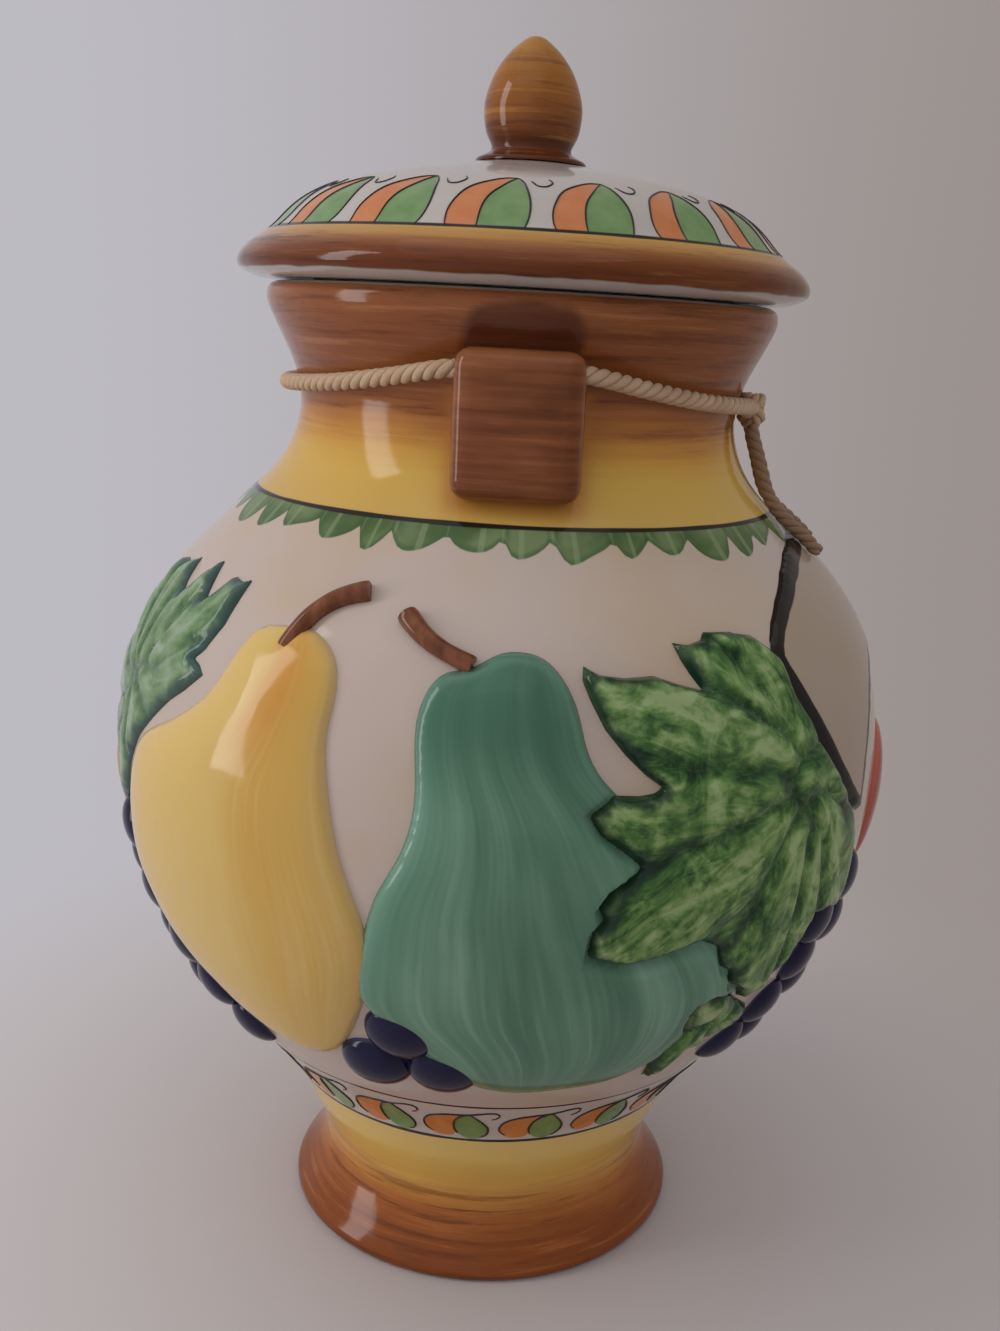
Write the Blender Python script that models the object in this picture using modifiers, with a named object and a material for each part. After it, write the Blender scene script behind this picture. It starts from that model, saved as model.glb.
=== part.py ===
"""A glazed ceramic biscuit jar with a lift-off lid, moulded fruit and a cord tied round its neck.

Metres, +Z up. The origin is the middle of the foot's base and the front of the jar faces -Y. The
two lugs stand on the X axis. Angles on the wall are in degrees from the left lug (-X): 90 is the
front, -90 the back.
"""

import math

import bmesh
import bpy
import numpy as np

# The jar's turned wall, given by the rings that its side runs through
FOOT_RADIUS = 0.0533
FOOT_EDGE_HEIGHT = 0.0024
FOOT_BASE_RADIUS = 0.0516
FOOT_RING_WIDTH = 0.008
FOOT_RECESS = 0.003
WAIST_RADIUS = 0.0451
WAIST_HEIGHT = 0.0185
BELLY_RADIUS = 0.0968
BELLY_HEIGHT = 0.135
NECK_RADIUS = 0.0539
NECK_HEIGHT = 0.216
LIP_RADIUS = 0.0621
LIP_HEIGHT = 0.2444
WALL = 0.0055
FLOOR = 0.006

# The lid, its flange and its seal
LID_RADIUS = 0.069
LID_RIM_RISE = 0.004
LID_SHOULDER_RADIUS = 0.0636
LID_SHOULDER_RISE = 0.0098
LID_DOME_RISE = 0.0292
LID_WALL = 0.0045
FLANGE_WALL = 0.005
FLANGE_BELOW_SEAL = 0.0025
FLANGE_CHAMFER = 0.001
FLANGE_FILLET = 0.003
SEAL_DROP = 0.009
SEAL_HEIGHT = 0.0035
SEAL_WIDTH = 0.0035
SEAL_GROOVE = 0.0012

# The knob
KNOB_FOOT_RADIUS = 0.0134
KNOB_WAIST_RADIUS = 0.0095
KNOB_RADIUS = 0.0117
KNOB_HEIGHT = 0.0284

# The lugs and the cord that runs through them
CORD_DIAMETER = 0.004
CORD_HOLE_DIAMETER = 0.0058
CORD_HOLE_DEPTH = 0.0023
CORD_HOLE_COVER = 0.0017
LUG_WIDTH = 0.028
LUG_FACE = 0.066
LUG_BOTTOM = 0.2013
LUG_TOP = 0.2326
LUG_ROUNDING = 0.003
KNOT_ANGLE = 84
KNOT_LENGTH = 0.0105
KNOT_DEPTH = 0.0068
KNOT_HEIGHT = 0.009
TAIL_DIAMETER = 0.0034

# The moulded relief: how far each kind stands out of the wall
PEAR_RELIEF = 0.0036
FRUIT_RELIEF = 0.0027
LEAF_RELIEF = 0.0032
BACK_LEAF_RELIEF = 0.0019
SIGN_RELIEF = 0.0014
RELIEF_EDGE = 0.001
STEM_DIAMETER = 0.005
STEM_RISE = 0.0005
GRAPE_RELIEF = 0.0032
BIG_GRAPE_RELIEF = 0.0045
GRAPE_SHARE = 0.0764
BIG_GRAPE_SHARE = 0.0888
GRAPE_STRETCH = 0.825

# The least gap between pieces that touch, and the side gap between neighbours in the relief
GAP = 0.0003
SIDE_GAP = 0.0005

# How finely round shapes are divided
ROUND = 36
SIDE_RINGS = 38
BORE_RINGS = 12
BLANK_CELL = 0.011

# Relief outlines are drawn in degrees round the wall and in 135ths of the belly's height
STEP = BELLY_HEIGHT / 135


# The scene
for old in list(bpy.data.objects):
    bpy.data.objects.remove(old, do_unlink=True)
parts = bpy.data.collections.new("ceramic_biscuit_jar")
cutters = bpy.data.collections.new("cutters")
for collection in (parts, cutters):
    bpy.context.scene.collection.children.link(collection)


def glaze(name, colour, roughness=0.18):
    """A Principled material in one colour."""
    material = bpy.data.materials.new(name)
    material.use_nodes = True
    shader = material.node_tree.nodes["Principled BSDF"]
    shader.inputs["Base Color"].default_value = (*colour, 1)
    shader.inputs["Roughness"].default_value = roughness
    shader.inputs["Metallic"].default_value = 0
    return material


CREAM = glaze("cream_glaze", (0.80, 0.72, 0.62))
BROWN = glaze("brown_glaze", (0.22, 0.08, 0.03))
WHITE = glaze("white_glaze", (0.82, 0.80, 0.76))
GOLD = glaze("gold_glaze", (0.78, 0.50, 0.14))
TEAL = glaze("teal_glaze", (0.06, 0.30, 0.22))
GREEN = glaze("leaf_green_glaze", (0.05, 0.20, 0.05))
NAVY = glaze("navy_glaze", (0.03, 0.03, 0.12))
RED = glaze("red_glaze", (0.60, 0.05, 0.04))
PEACH = glaze("peach_glaze", (0.80, 0.38, 0.25))
CORD = glaze("cream_cord", (0.62, 0.50, 0.36), 0.6)
RUBBER = glaze("clear_seal", (0.75, 0.74, 0.70), 0.5)


def keep(obj, material):
    """Put a finished piece in the part's collection, smooth where it is round."""
    for held in list(obj.users_collection):
        held.objects.unlink(obj)
    parts.objects.link(obj)
    obj.data.materials.clear()
    obj.data.materials.append(material)
    obj.data.shade_smooth()
    obj.data.set_sharp_from_angle(angle=math.radians(35))
    return obj


def as_cutter(obj):
    """Put a helper shape in the cutters' collection, out of the render."""
    for held in list(obj.users_collection):
        held.objects.unlink(obj)
    cutters.objects.link(obj)
    obj.hide_render = True
    obj.display_type = "WIRE"
    return obj


def boolean(obj, operation, other, join_own=False):
    """Add an exact Boolean with another object."""
    modifier = obj.modifiers.new(operation.lower(), "BOOLEAN")
    modifier.operation = operation
    modifier.object = other
    modifier.solver = "EXACT"
    modifier.use_self = join_own


def evaluated_mesh(obj, name):
    """The object's mesh with its modifiers applied and its doubles welded."""
    graph = bpy.context.evaluated_depsgraph_get()
    graph.update()
    mesh = bpy.data.meshes.new_from_object(obj.evaluated_get(graph))
    mesh.name = name
    mesh.transform(obj.matrix_world)
    shape = bmesh.new()
    shape.from_mesh(mesh)
    bmesh.ops.remove_doubles(shape, verts=shape.verts, dist=1e-6)
    shape.to_mesh(mesh)
    shape.free()
    return mesh


def made_mesh(obj):
    """Turn a curve, or an object with modifiers, into a plain mesh object of the same name."""
    name = obj.name
    mesh = evaluated_mesh(obj, name)
    bpy.data.objects.remove(obj, do_unlink=True)
    made = bpy.data.objects.new(name, mesh)
    bpy.context.scene.collection.objects.link(made)
    return made


# Curves: a smooth line through hand-chosen points
def smooth(points, count):
    """Read evenly spaced points from a natural cubic spline through the given ones."""
    points = np.array(points, float)
    steps = np.linalg.norm(np.diff(points, axis=0), axis=1)
    along = np.concatenate([[0], np.cumsum(steps)])
    size = len(points)
    matrix = np.eye(size)
    pull = np.zeros_like(points)
    for i in range(1, size - 1):
        matrix[i, i - 1 : i + 2] = steps[i - 1], 2 * (steps[i - 1] + steps[i]), steps[i]
        after = (points[i + 1] - points[i]) / steps[i]
        before = (points[i] - points[i - 1]) / steps[i - 1]
        pull[i] = 6 * (after - before)
    bend = np.linalg.solve(matrix, pull)
    read = np.linspace(0, along[-1], count)
    i = np.clip(np.searchsorted(along, read) - 1, 0, size - 2)
    b = ((read - along[i]) / steps[i])[:, None]
    a = 1 - b
    curve = a * points[i] + b * points[i + 1]
    curve += ((a**3 - a) * bend[i] + (b**3 - b) * bend[i + 1]) * steps[i][:, None] ** 2 / 6
    return curve


def smooth_loop(points, count):
    """The same for a closed outline: it overlaps itself by a few points, and the middle is read."""
    lap = 4
    wide = list(points[-lap:]) + list(points) + list(points[: lap + 1])
    fine = smooth(wide, 12 * len(wide))
    start = np.argmin(np.linalg.norm(fine[: len(fine) // 2] - points[0], axis=1))
    half = len(fine) // 2
    end = half + np.argmin(np.linalg.norm(fine[half:] - points[0], axis=1))
    picked = np.linspace(start, end, count, endpoint=False).round().astype(int)
    return fine[picked]


# The jar's side: rings, and shares of the way from one ring to the next
def between(low, high, shares):
    """Points between two rings, each by its share of the way out and of the way up."""
    return [
        (low[0] + (high[0] - low[0]) * out, low[1] + (high[1] - low[1]) * up)
        for out, up in shares
    ]


FOOT_RING = (FOOT_RADIUS, FOOT_EDGE_HEIGHT)
WAIST_RING = (WAIST_RADIUS, WAIST_HEIGHT)
BELLY_RING = (BELLY_RADIUS, BELLY_HEIGHT)
NECK_RING = (NECK_RADIUS, NECK_HEIGHT)
LIP_RING = (LIP_RADIUS, LIP_HEIGHT - WALL / 2)
FOOT_FLARE = ((0.40, 0.32), (0.90, 0.75))
LOWER_BODY = (
    (0.035, 0.069),
    (0.149, 0.176),
    (0.327, 0.300),
    (0.528, 0.412),
    (0.706, 0.524),
    (0.853, 0.657),
    (0.961, 0.815),
)
SHOULDER = ((0.072, 0.272), (0.294, 0.506), (0.592, 0.673), (0.834, 0.802), (0.974, 0.932))
NECK_FLARE = ((0.25, 0.43), (0.85, 0.84))
SIDE = smooth(
    [FOOT_RING]
    + between(FOOT_RING, WAIST_RING, FOOT_FLARE)
    + [WAIST_RING]
    + between(WAIST_RING, BELLY_RING, LOWER_BODY)
    + [BELLY_RING]
    + between(BELLY_RING, NECK_RING, SHOULDER)
    + [NECK_RING]
    + between(NECK_RING, LIP_RING, NECK_FLARE)
    + [LIP_RING],
    400,
)


def offset(curve, distance):
    """The curve moved outwards along its own normals."""
    along = np.gradient(curve, axis=0)
    along /= np.linalg.norm(along, axis=1)[:, None]
    return curve + distance * np.stack([along[:, 1], -along[:, 0]], axis=1)


INSIDE = offset(SIDE, -WALL)


def wall(height):
    """The jar's outer radius at a height."""
    return np.interp(height, SIDE[:, 1], SIDE[:, 0])


def bore(height):
    """The jar's inner radius at a height."""
    return np.interp(height, INSIDE[:, 1], INSIDE[:, 0])


def on_wall(angle, height, proud):
    """The point that stands this far out of the wall."""
    turn = np.radians(angle)
    radius = wall(height) + proud
    return np.stack([-radius * np.cos(turn), -radius * np.sin(turn), height + 0 * turn], axis=-1)


def turned(name, profile, steps=ROUND):
    """A turned piece. Its profile starts inside and runs down the outer side."""
    points = [(radius, 0, height) for radius, height in profile]
    mesh = bpy.data.meshes.new(name)
    mesh.from_pydata(points, [(i, i + 1) for i in range(len(points) - 1)], [])
    obj = bpy.data.objects.new(name, mesh)
    bpy.context.scene.collection.objects.link(obj)
    screw = obj.modifiers.new("turn", "SCREW")
    screw.steps = steps
    screw.render_steps = steps
    screw.use_merge_vertices = True
    screw.merge_threshold = 0.00001
    return made_mesh(obj)


def arc(centre, radius, start, end, count):
    """Points on a circle in the profile's plane, angles in degrees from outwards."""
    turn = np.radians(np.linspace(start, end, count))
    return [
        (centre[0] + radius * math.cos(t), centre[1] + radius * math.sin(t)) for t in turn
    ]


# Jar body: one turned wall from the foot ring to the rounded lip
FLOOR_TOP = FOOT_RECESS + FLOOR
FLOOR_FILLET = 0.004
floor_edge = bore(FLOOR_TOP + FLOOR_FILLET)
above_floor = [p for p in INSIDE if FLOOR_TOP + FLOOR_FILLET < p[1] < LIP_RING[1]]
inner_side = above_floor[:: len(above_floor) // BORE_RINGS]
outer_side = SIDE[np.linspace(0, len(SIDE) - 1, SIDE_RINGS).astype(int)][::-1]
lip_middle = (LIP_RADIUS - WALL / 2, LIP_RING[1])
jar_profile = (
    [(0, FLOOR_TOP), (floor_edge - FLOOR_FILLET, FLOOR_TOP)]
    + [(floor_edge - FLOOR_FILLET * 0.3, FLOOR_TOP + FLOOR_FILLET * 0.3)]
    + list(inner_side)
    + arc(lip_middle, WALL / 2, 180, 0, 7)
    + list(outer_side[1:])
    + [(FOOT_BASE_RADIUS, 0), (FOOT_BASE_RADIUS - FOOT_RING_WIDTH, 0)]
    + [(FOOT_BASE_RADIUS - FOOT_RING_WIDTH, FOOT_RECESS), (0, FOOT_RECESS)]
)
jar_body = keep(turned("jar_body", jar_profile), CREAM)

# The wall, grown by the gap: every piece that sits on the jar is cut with it
grown = offset(SIDE, GAP)[np.linspace(0, len(SIDE) - 1, SIDE_RINGS).astype(int)][::-1]
wall_cutter = as_cutter(
    turned(
        "wall_cutter",
        [(0, LIP_HEIGHT)] + [(grown[0][0], LIP_HEIGHT)] + list(grown) + [(0, grown[-1][1])],
    )
)

# Lid: a domed cap that rests on the lip, with a flange that carries the seal
SEAT = LIP_HEIGHT + GAP
SEAL_LOW = LIP_HEIGHT - SEAL_DROP
SEAL_TOP = SEAL_LOW + SEAL_HEIGHT
SEAL_RADIUS = bore(SEAL_LOW) - GAP
GROOVE_RADIUS = SEAL_RADIUS - SEAL_WIDTH - GAP
FLANGE_RADIUS = GROOVE_RADIUS + SEAL_GROOVE
FLANGE_LOW = SEAL_LOW - FLANGE_BELOW_SEAL
CROWN = SEAT + LID_DOME_RISE
SHOULDER_RING = (LID_SHOULDER_RADIUS, SEAT + LID_SHOULDER_RISE)
KNOB_SEAT = (KNOB_FOOT_RADIUS + GAP, CROWN)
DOME = ((0.12, 0.35), (0.31, 0.58), (0.58, 0.83), (0.82, 0.95))
dome = smooth(
    [SHOULDER_RING]
    + [
        (
            LID_SHOULDER_RADIUS + (KNOB_SEAT[0] - LID_SHOULDER_RADIUS) * inward,
            SHOULDER_RING[1] + (CROWN - SHOULDER_RING[1]) * up,
        )
        for inward, up in DOME
    ]
    + [KNOB_SEAT],
    9,
)
RIM_OVERHANG = LID_RADIUS - LIP_RADIUS
rim_start = (LID_RADIUS - RIM_OVERHANG * 0.28, SEAT + LID_RIM_RISE * 0.4)
under_dome = offset(dome[::-1], LID_WALL)
flange_bore = FLANGE_RADIUS - FLANGE_WALL
ceiling = [p for p in under_dome if p[0] < flange_bore - FLANGE_CHAMFER]
lid_profile = (
    [(0, CROWN - LID_WALL)]
    + [tuple(p) for p in ceiling]
    + [(flange_bore, ceiling[-1][1] - FLANGE_FILLET)]
    + [(flange_bore, FLANGE_LOW + FLANGE_CHAMFER), (flange_bore + FLANGE_CHAMFER, FLANGE_LOW)]
    + [(FLANGE_RADIUS - FLANGE_CHAMFER, FLANGE_LOW), (FLANGE_RADIUS, FLANGE_LOW + FLANGE_CHAMFER)]
    + [(FLANGE_RADIUS, SEAL_LOW - GAP)]
    + [(GROOVE_RADIUS, SEAL_LOW - GAP), (GROOVE_RADIUS, SEAL_TOP + GAP)]
    + [(FLANGE_RADIUS, SEAL_TOP + GAP), (FLANGE_RADIUS, SEAT)]
    + [(LIP_RADIUS, SEAT), rim_start]
)
rim = smooth(
    [
        rim_start,
        (LID_RADIUS - RIM_OVERHANG * 0.07, SEAT + LID_RIM_RISE * 0.6),
        (LID_RADIUS, SEAT + LID_RIM_RISE),
        (LID_RADIUS - RIM_OVERHANG * 0.3, SEAT + LID_SHOULDER_RISE * 0.76),
        SHOULDER_RING,
    ],
    7,
)
# The rim is drawn from below upwards, so the whole outer side is turned over at the end
outer_lid = [tuple(p) for p in rim[1:]] + [tuple(p) for p in dome[1:]] + [(0, CROWN)]
lid = turned("lid", (lid_profile + outer_lid)[::-1])
keep(lid, WHITE)

# Seal: a soft ring in the flange's groove, just clear of the jar's bore
seal_round = SEAL_HEIGHT * 0.3
seal_inner = SEAL_RADIUS - SEAL_WIDTH
seal_profile = [
    (seal_inner, SEAL_LOW + seal_round),
    (seal_inner, SEAL_TOP - seal_round),
    (seal_inner + seal_round, SEAL_TOP),
    (SEAL_RADIUS - seal_round, SEAL_TOP),
    (SEAL_RADIUS, SEAL_TOP - seal_round),
    (SEAL_RADIUS, SEAL_LOW + seal_round),
    (SEAL_RADIUS - seal_round, SEAL_LOW),
    (seal_inner + seal_round, SEAL_LOW),
    (seal_inner, SEAL_LOW + seal_round),
]
keep(turned("lid_seal_ring", seal_profile), RUBBER)

# Knob: an acorn-shaped knob on a small flared foot, seated on the crown
KNOB_BASE = CROWN + GAP
KNOB_SHAPE = (
    (KNOB_WAIST_RADIUS * 1.05, 0.167),
    (KNOB_RADIUS * 0.93, 0.235),
    (KNOB_RADIUS, 0.405),
    (KNOB_RADIUS * 0.97, 0.515),
    (KNOB_RADIUS * 0.88, 0.631),
    (KNOB_RADIUS * 0.777, 0.723),
    (KNOB_RADIUS * 0.623, 0.814),
    (KNOB_RADIUS * 0.41, 0.903),
    (KNOB_RADIUS * 0.17, 0.978),
)
knob_side = smooth(
    [
        (KNOB_FOOT_RADIUS, KNOB_BASE + KNOB_HEIGHT * 0.02),
        (KNOB_FOOT_RADIUS * 0.81, KNOB_BASE + KNOB_HEIGHT * 0.065),
        (KNOB_WAIST_RADIUS, KNOB_BASE + KNOB_HEIGHT * 0.115),
    ]
    + [(radius, KNOB_BASE + KNOB_HEIGHT * share) for radius, share in KNOB_SHAPE],
    16,
)[::-1]
knob_profile = [(0, KNOB_BASE + KNOB_HEIGHT)] + list(knob_side)
knob_profile += [(KNOB_FOOT_RADIUS, KNOB_BASE), (0, KNOB_BASE)]
keep(turned("lid_knob", knob_profile, 24), BROWN)

# Lugs: rounded ears on the neck, each with a hole for the cord from side to side
CORD_RADIUS = CORD_DIAMETER / 2
HOLE_RADIUS = CORD_HOLE_DIAMETER / 2
HOLE_X = LUG_FACE - CORD_HOLE_DEPTH - HOLE_RADIUS
HOLE_Z = LUG_TOP - CORD_HOLE_COVER - HOLE_RADIUS
for side, hand in ((-1, "left"), (1, "right")):
    inner_face = NECK_RADIUS - WALL
    bpy.ops.mesh.primitive_cube_add(size=1)
    ear = bpy.context.active_object
    ear.name = f"lug_{hand}"
    ear.dimensions = (LUG_FACE - inner_face, LUG_WIDTH, LUG_TOP - LUG_BOTTOM)
    ear.location = (side * (LUG_FACE + inner_face) / 2, 0, (LUG_TOP + LUG_BOTTOM) / 2)
    bpy.ops.object.transform_apply(location=False, rotation=False, scale=True)
    rounding = ear.modifiers.new("rounding", "BEVEL")
    rounding.width = LUG_ROUNDING
    rounding.segments = 3
    bpy.ops.mesh.primitive_cylinder_add(
        vertices=16,
        radius=HOLE_RADIUS,
        depth=LUG_WIDTH * 2,
        location=(side * HOLE_X, 0, HOLE_Z),
        rotation=(math.pi / 2, 0, 0),
    )
    hole = bpy.context.active_object
    hole.name = f"cord_hole_{hand}"
    as_cutter(hole)
    boolean(ear, "DIFFERENCE", wall_cutter)
    boolean(ear, "DIFFERENCE", hole)
    keep(made_mesh(ear), BROWN)


# Relief: moulded sprigs, each a blank cut to its outline and bent round the wall
BLANK_DEPTH = 0.002
# A flat cell bent round the wall dips towards it by about this much in its middle
CELL_DIP = BLANK_CELL**2 / (8 * BELLY_RADIUS)


def flat(outline):
    """Drawn points (degrees, steps up) laid flat, in metres."""
    return np.array([(math.radians(a) * BELLY_RADIUS, h * STEP) for a, h in outline])


def grow(outline, distance):
    """An outline moved outwards along its own normals."""
    ahead = np.roll(outline, -1, axis=0) - np.roll(outline, 1, axis=0)
    ahead /= np.linalg.norm(ahead, axis=1)[:, None]
    out = np.stack([ahead[:, 1], -ahead[:, 0]], axis=1)
    area = np.sum(outline[:, 0] * np.roll(outline[:, 1], -1))
    area -= np.sum(outline[:, 1] * np.roll(outline[:, 0], -1))
    return outline + out * distance * np.sign(area)


def prism(name, outline, depth):
    """A flat outline as a filled curve, extruded both ways and made a mesh."""
    curve = bpy.data.curves.new(name, "CURVE")
    curve.dimensions = "2D"
    curve.fill_mode = "BOTH"
    curve.extrude = depth
    spline = curve.splines.new("POLY")
    spline.points.add(len(outline) - 1)
    for point, (across, up) in zip(spline.points, outline):
        point.co = (across, up, 0, 1)
    spline.use_cyclic_u = True
    obj = bpy.data.objects.new(name, curve)
    bpy.context.scene.collection.objects.link(obj)
    return made_mesh(obj)


def edge_distance(points, outline):
    """How far each point lies from the outline."""
    start = outline[None, :, :]
    along = np.roll(outline, -1, axis=0)[None, :, :] - start
    to = points[:, None, :] - start
    share = np.clip((to * along).sum(-1) / (along * along).sum(-1), 0, 1)
    return np.linalg.norm(to - share[..., None] * along, axis=-1).min(axis=1)


def sprig(name, outline, relief, crown_width, material, under=()):
    """A moulded piece on the wall, cut away where the outlines in `under` lie over it."""
    low, high = outline.min(axis=0), outline.max(axis=0)
    cells = np.ceil((high - low) / BLANK_CELL).astype(int)
    bpy.ops.mesh.primitive_grid_add(x_subdivisions=cells[0], y_subdivisions=cells[1], size=1)
    blank = bpy.context.active_object
    blank.name = name
    blank.scale = (*(high - low + SIDE_GAP), 1)
    blank.location = (*((low + high) / 2), 0)
    bpy.ops.object.transform_apply(location=True, rotation=False, scale=True)
    thick = blank.modifiers.new("depth", "SOLIDIFY")
    thick.thickness = BLANK_DEPTH
    thick.offset = 0
    tools = [prism("outline", outline, BLANK_DEPTH)]
    boolean(blank, "INTERSECT", tools[0])
    for over in under:
        tools.append(prism("over", grow(over, SIDE_GAP), BLANK_DEPTH))
        boolean(blank, "DIFFERENCE", tools[-1])
    piece = made_mesh(blank)
    for tool in tools:
        bpy.data.objects.remove(tool, do_unlink=True)
    points = np.array([v.co for v in piece.data.vertices])
    share = np.clip(edge_distance(points[:, :2], outline) / crown_width, 0, 1)
    crown = RELIEF_EDGE + (relief - RELIEF_EDGE) * np.sqrt(1 - (1 - share) ** 2)
    proud = GAP + CELL_DIP + np.where(points[:, 2] > 0, crown, 0)
    bent = on_wall(np.degrees(points[:, 0] / BELLY_RADIUS), points[:, 1], proud)
    piece.data.vertices.foreach_set("co", bent.ravel())
    face_out(piece)
    return keep(piece, material)


def face_out(obj):
    """Turn the faces of a closed piece outwards."""
    shape = bmesh.new()
    shape.from_mesh(obj.data)
    bmesh.ops.recalc_face_normals(shape, faces=shape.faces)
    shape.to_mesh(obj.data)
    shape.free()


def other_side(obj):
    """The same piece on the right half of the jar, mirrored across X = 0."""
    twin = obj.copy()
    twin.data = obj.data.copy()
    twin.name = obj.name.replace("_left", "_right")
    twin.data.name = twin.name
    for vertex in twin.data.vertices:
        vertex.co.x = -vertex.co.x
    parts.objects.link(twin)
    twin.data.flip_normals()
    return twin


def cut(obj, tool):
    """Cut a finished piece with a helper shape, and keep it a plain mesh."""
    boolean(obj, "DIFFERENCE", tool, join_own=True)
    mesh = evaluated_mesh(obj, obj.name)
    obj.modifiers.clear()
    obj.data = mesh


def grape_balls(name, centres, radius, relief, extra=0.0):
    """Overlapping balls, sunk so that each shows as a cap of this radius and height, as one mesh."""
    ball_radius = (radius**2 + relief**2) / (2 * relief)
    stretch = GRAPE_STRETCH * BELLY_HEIGHT / BELLY_RADIUS
    shape = bmesh.new()
    for angle, steps in centres:
        ball = bmesh.ops.create_uvsphere(
            shape, u_segments=8, v_segments=6, radius=ball_radius + extra
        )
        bmesh.ops.scale(shape, verts=ball["verts"], vec=(1, 1, stretch))
        middle = on_wall(angle, steps * STEP, relief - ball_radius)
        bmesh.ops.translate(shape, verts=ball["verts"], vec=middle)
    mesh = bpy.data.meshes.new(name)
    shape.to_mesh(mesh)
    shape.free()
    obj = bpy.data.objects.new(name, mesh)
    bpy.context.scene.collection.objects.link(obj)
    return obj


def grapes(name, centres, radius, relief):
    """A group of grapes joined into one piece and seated on the wall."""
    bunch = grape_balls(name, centres, radius, relief)
    boolean(bunch, "DIFFERENCE", wall_cutter, join_own=True)
    return keep(made_mesh(bunch), NAVY)


def stem_tube(name, route, diameter):
    """A round stem along the wall, half sunk in it."""
    curve = bpy.data.curves.new(name, "CURVE")
    curve.dimensions = "3D"
    curve.bevel_depth = diameter / 2
    curve.bevel_resolution = 2
    curve.use_fill_caps = True
    points = smooth(route, 7)
    spline = curve.splines.new("POLY")
    spline.points.add(len(points) - 1)
    for point, (angle, steps) in zip(spline.points, points):
        point.co = (*on_wall(angle, steps * STEP, STEM_RISE), 1)
    obj = bpy.data.objects.new(name, curve)
    bpy.context.scene.collection.objects.link(obj)
    return made_mesh(obj)


TEAL_PEAR = (
    (-4.7, 171.2), (1.8, 174.5), (7.7, 169.4), (10.4, 156.9), (15.2, 146.3), (20.5, 136),
    (28, 122), (35, 108), (38, 95), (32.3, 81.4), (20.2, 71.7), (6.1, 69.6), (-3.5, 73.5),
    (-12, 84), (-17.7, 97), (-16.6, 112.9), (-13, 129.5), (-10.2, 143.5), (-10.7, 158),
    (-9, 168),
)
GOLD_PEAR = (
    (-33, 174.5), (-39.1, 168.2), (-44.8, 154.9), (-57.7, 142.8), (-63.6, 121.2),
    (-61.6, 101.2), (-50.7, 85.7), (-36.2, 74.7), (-27, 75.5), (-20.5, 86), (-15.5, 106.8),
    (-18.6, 126.4), (-21.9, 150.9), (-21.8, 164.6), (-25.6, 173.2),
)
VINE_LEAF = (
    (23.7, 176.1), (29.3, 177.7), (37.1, 176.4), (41.5, 171.6), (42.5, 164.8), (47.4, 152),
    (56.2, 136), (58, 122.6), (57.7, 107.9), (48.8, 109), (47.3, 102.9), (44.2, 92.8),
    (39.7, 92.3), (35.2, 99.2), (32.5, 104.7), (30.7, 110.8), (27.9, 113), (20.7, 110.6),
    (16.6, 110.2), (11.9, 112.6), (12.2, 118.7), (12.6, 124.1), (15.8, 129.9), (17.6, 132.3),
    (14.8, 136.6), (10.7, 144.1), (13.6, 148), (17.1, 147.6), (20, 149.1), (15.2, 155.8),
    (10.9, 166.2), (10.2, 172.3), (12.4, 170.7), (19.8, 170.4), (26.8, 167.2), (25.4, 170.2),
)
SMALL_LEAF = (
    (29.3, 69.3), (31.7, 73.1), (33.2, 79.1), (36.9, 80.6), (40.4, 83.1), (44.9, 86.6),
    (41, 90.5), (36.3, 95.6), (32.1, 96.7), (29.3, 92.8), (30.3, 87.4), (28.8, 83.1),
    (28.1, 76.8),
)
BACK_LEAF = (
    (-48.1, 180.8), (-44.1, 181), (-44.3, 171.8), (-47.8, 163.9), (-44.7, 161.3),
    (-51.1, 153.6), (-59.9, 141.8), (-69, 123.2), (-73, 117), (-75, 127), (-80, 132),
    (-77, 142), (-83, 150), (-78, 158), (-81, 169), (-73, 172), (-71, 180), (-64.1, 181.5),
    (-60, 174), (-55, 182.8), (-52, 175),
)
SIGN_HALF = (
    (90, 166), (75, 163.5), (66.4, 155.9), (61.6, 143.4), (60.5, 131.5), (54, 138.5),
    (46.3, 154.1), (42.1, 165.7), (40.7, 172), (43.6, 178), (47.5, 181.6), (54.7, 186.2),
    (62, 189.3), (71, 191.4), (81, 192.4), (90, 192.7),
)
FRONT_FRUIT = ((90, 143), (81, 145), (73.5, 139), (71, 128), (76, 111), (84.5, 103.5), (90, 105))
TRIO = ((-12.6, 88.6), (-18, 76.6), (-6.8, 77.2))
FRONT_GRAPES = (
    (61.5, 114), (62.5, 102), (54.8, 106), (55, 95), (59.5, 87), (51.5, 83.5), (46.5, 73.5),
    (54.8, 73.5),
)
BACK_GRAPES = (
    (-69.5, 114.5), (-73.5, 104), (-66.5, 99.5), (-59.5, 89), (-68, 88), (-54.5, 79.5),
    (-62, 77.5), (-49.5, 70.5),
)
GOLD_STEM = ((-30.7, 170.8), (-28.3, 178), (-21.2, 182.6))
TEAL_STEM = ((-14.4, 179.2), (-8.3, 173.6), (-4.4, 171.2))


def across_front(half, middle):
    """A half outline mirrored about the angle `middle`, as one closed outline."""
    back = [(2 * middle - a, h) for a, h in half[-2:0:-1]]
    return list(half) + back


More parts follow.
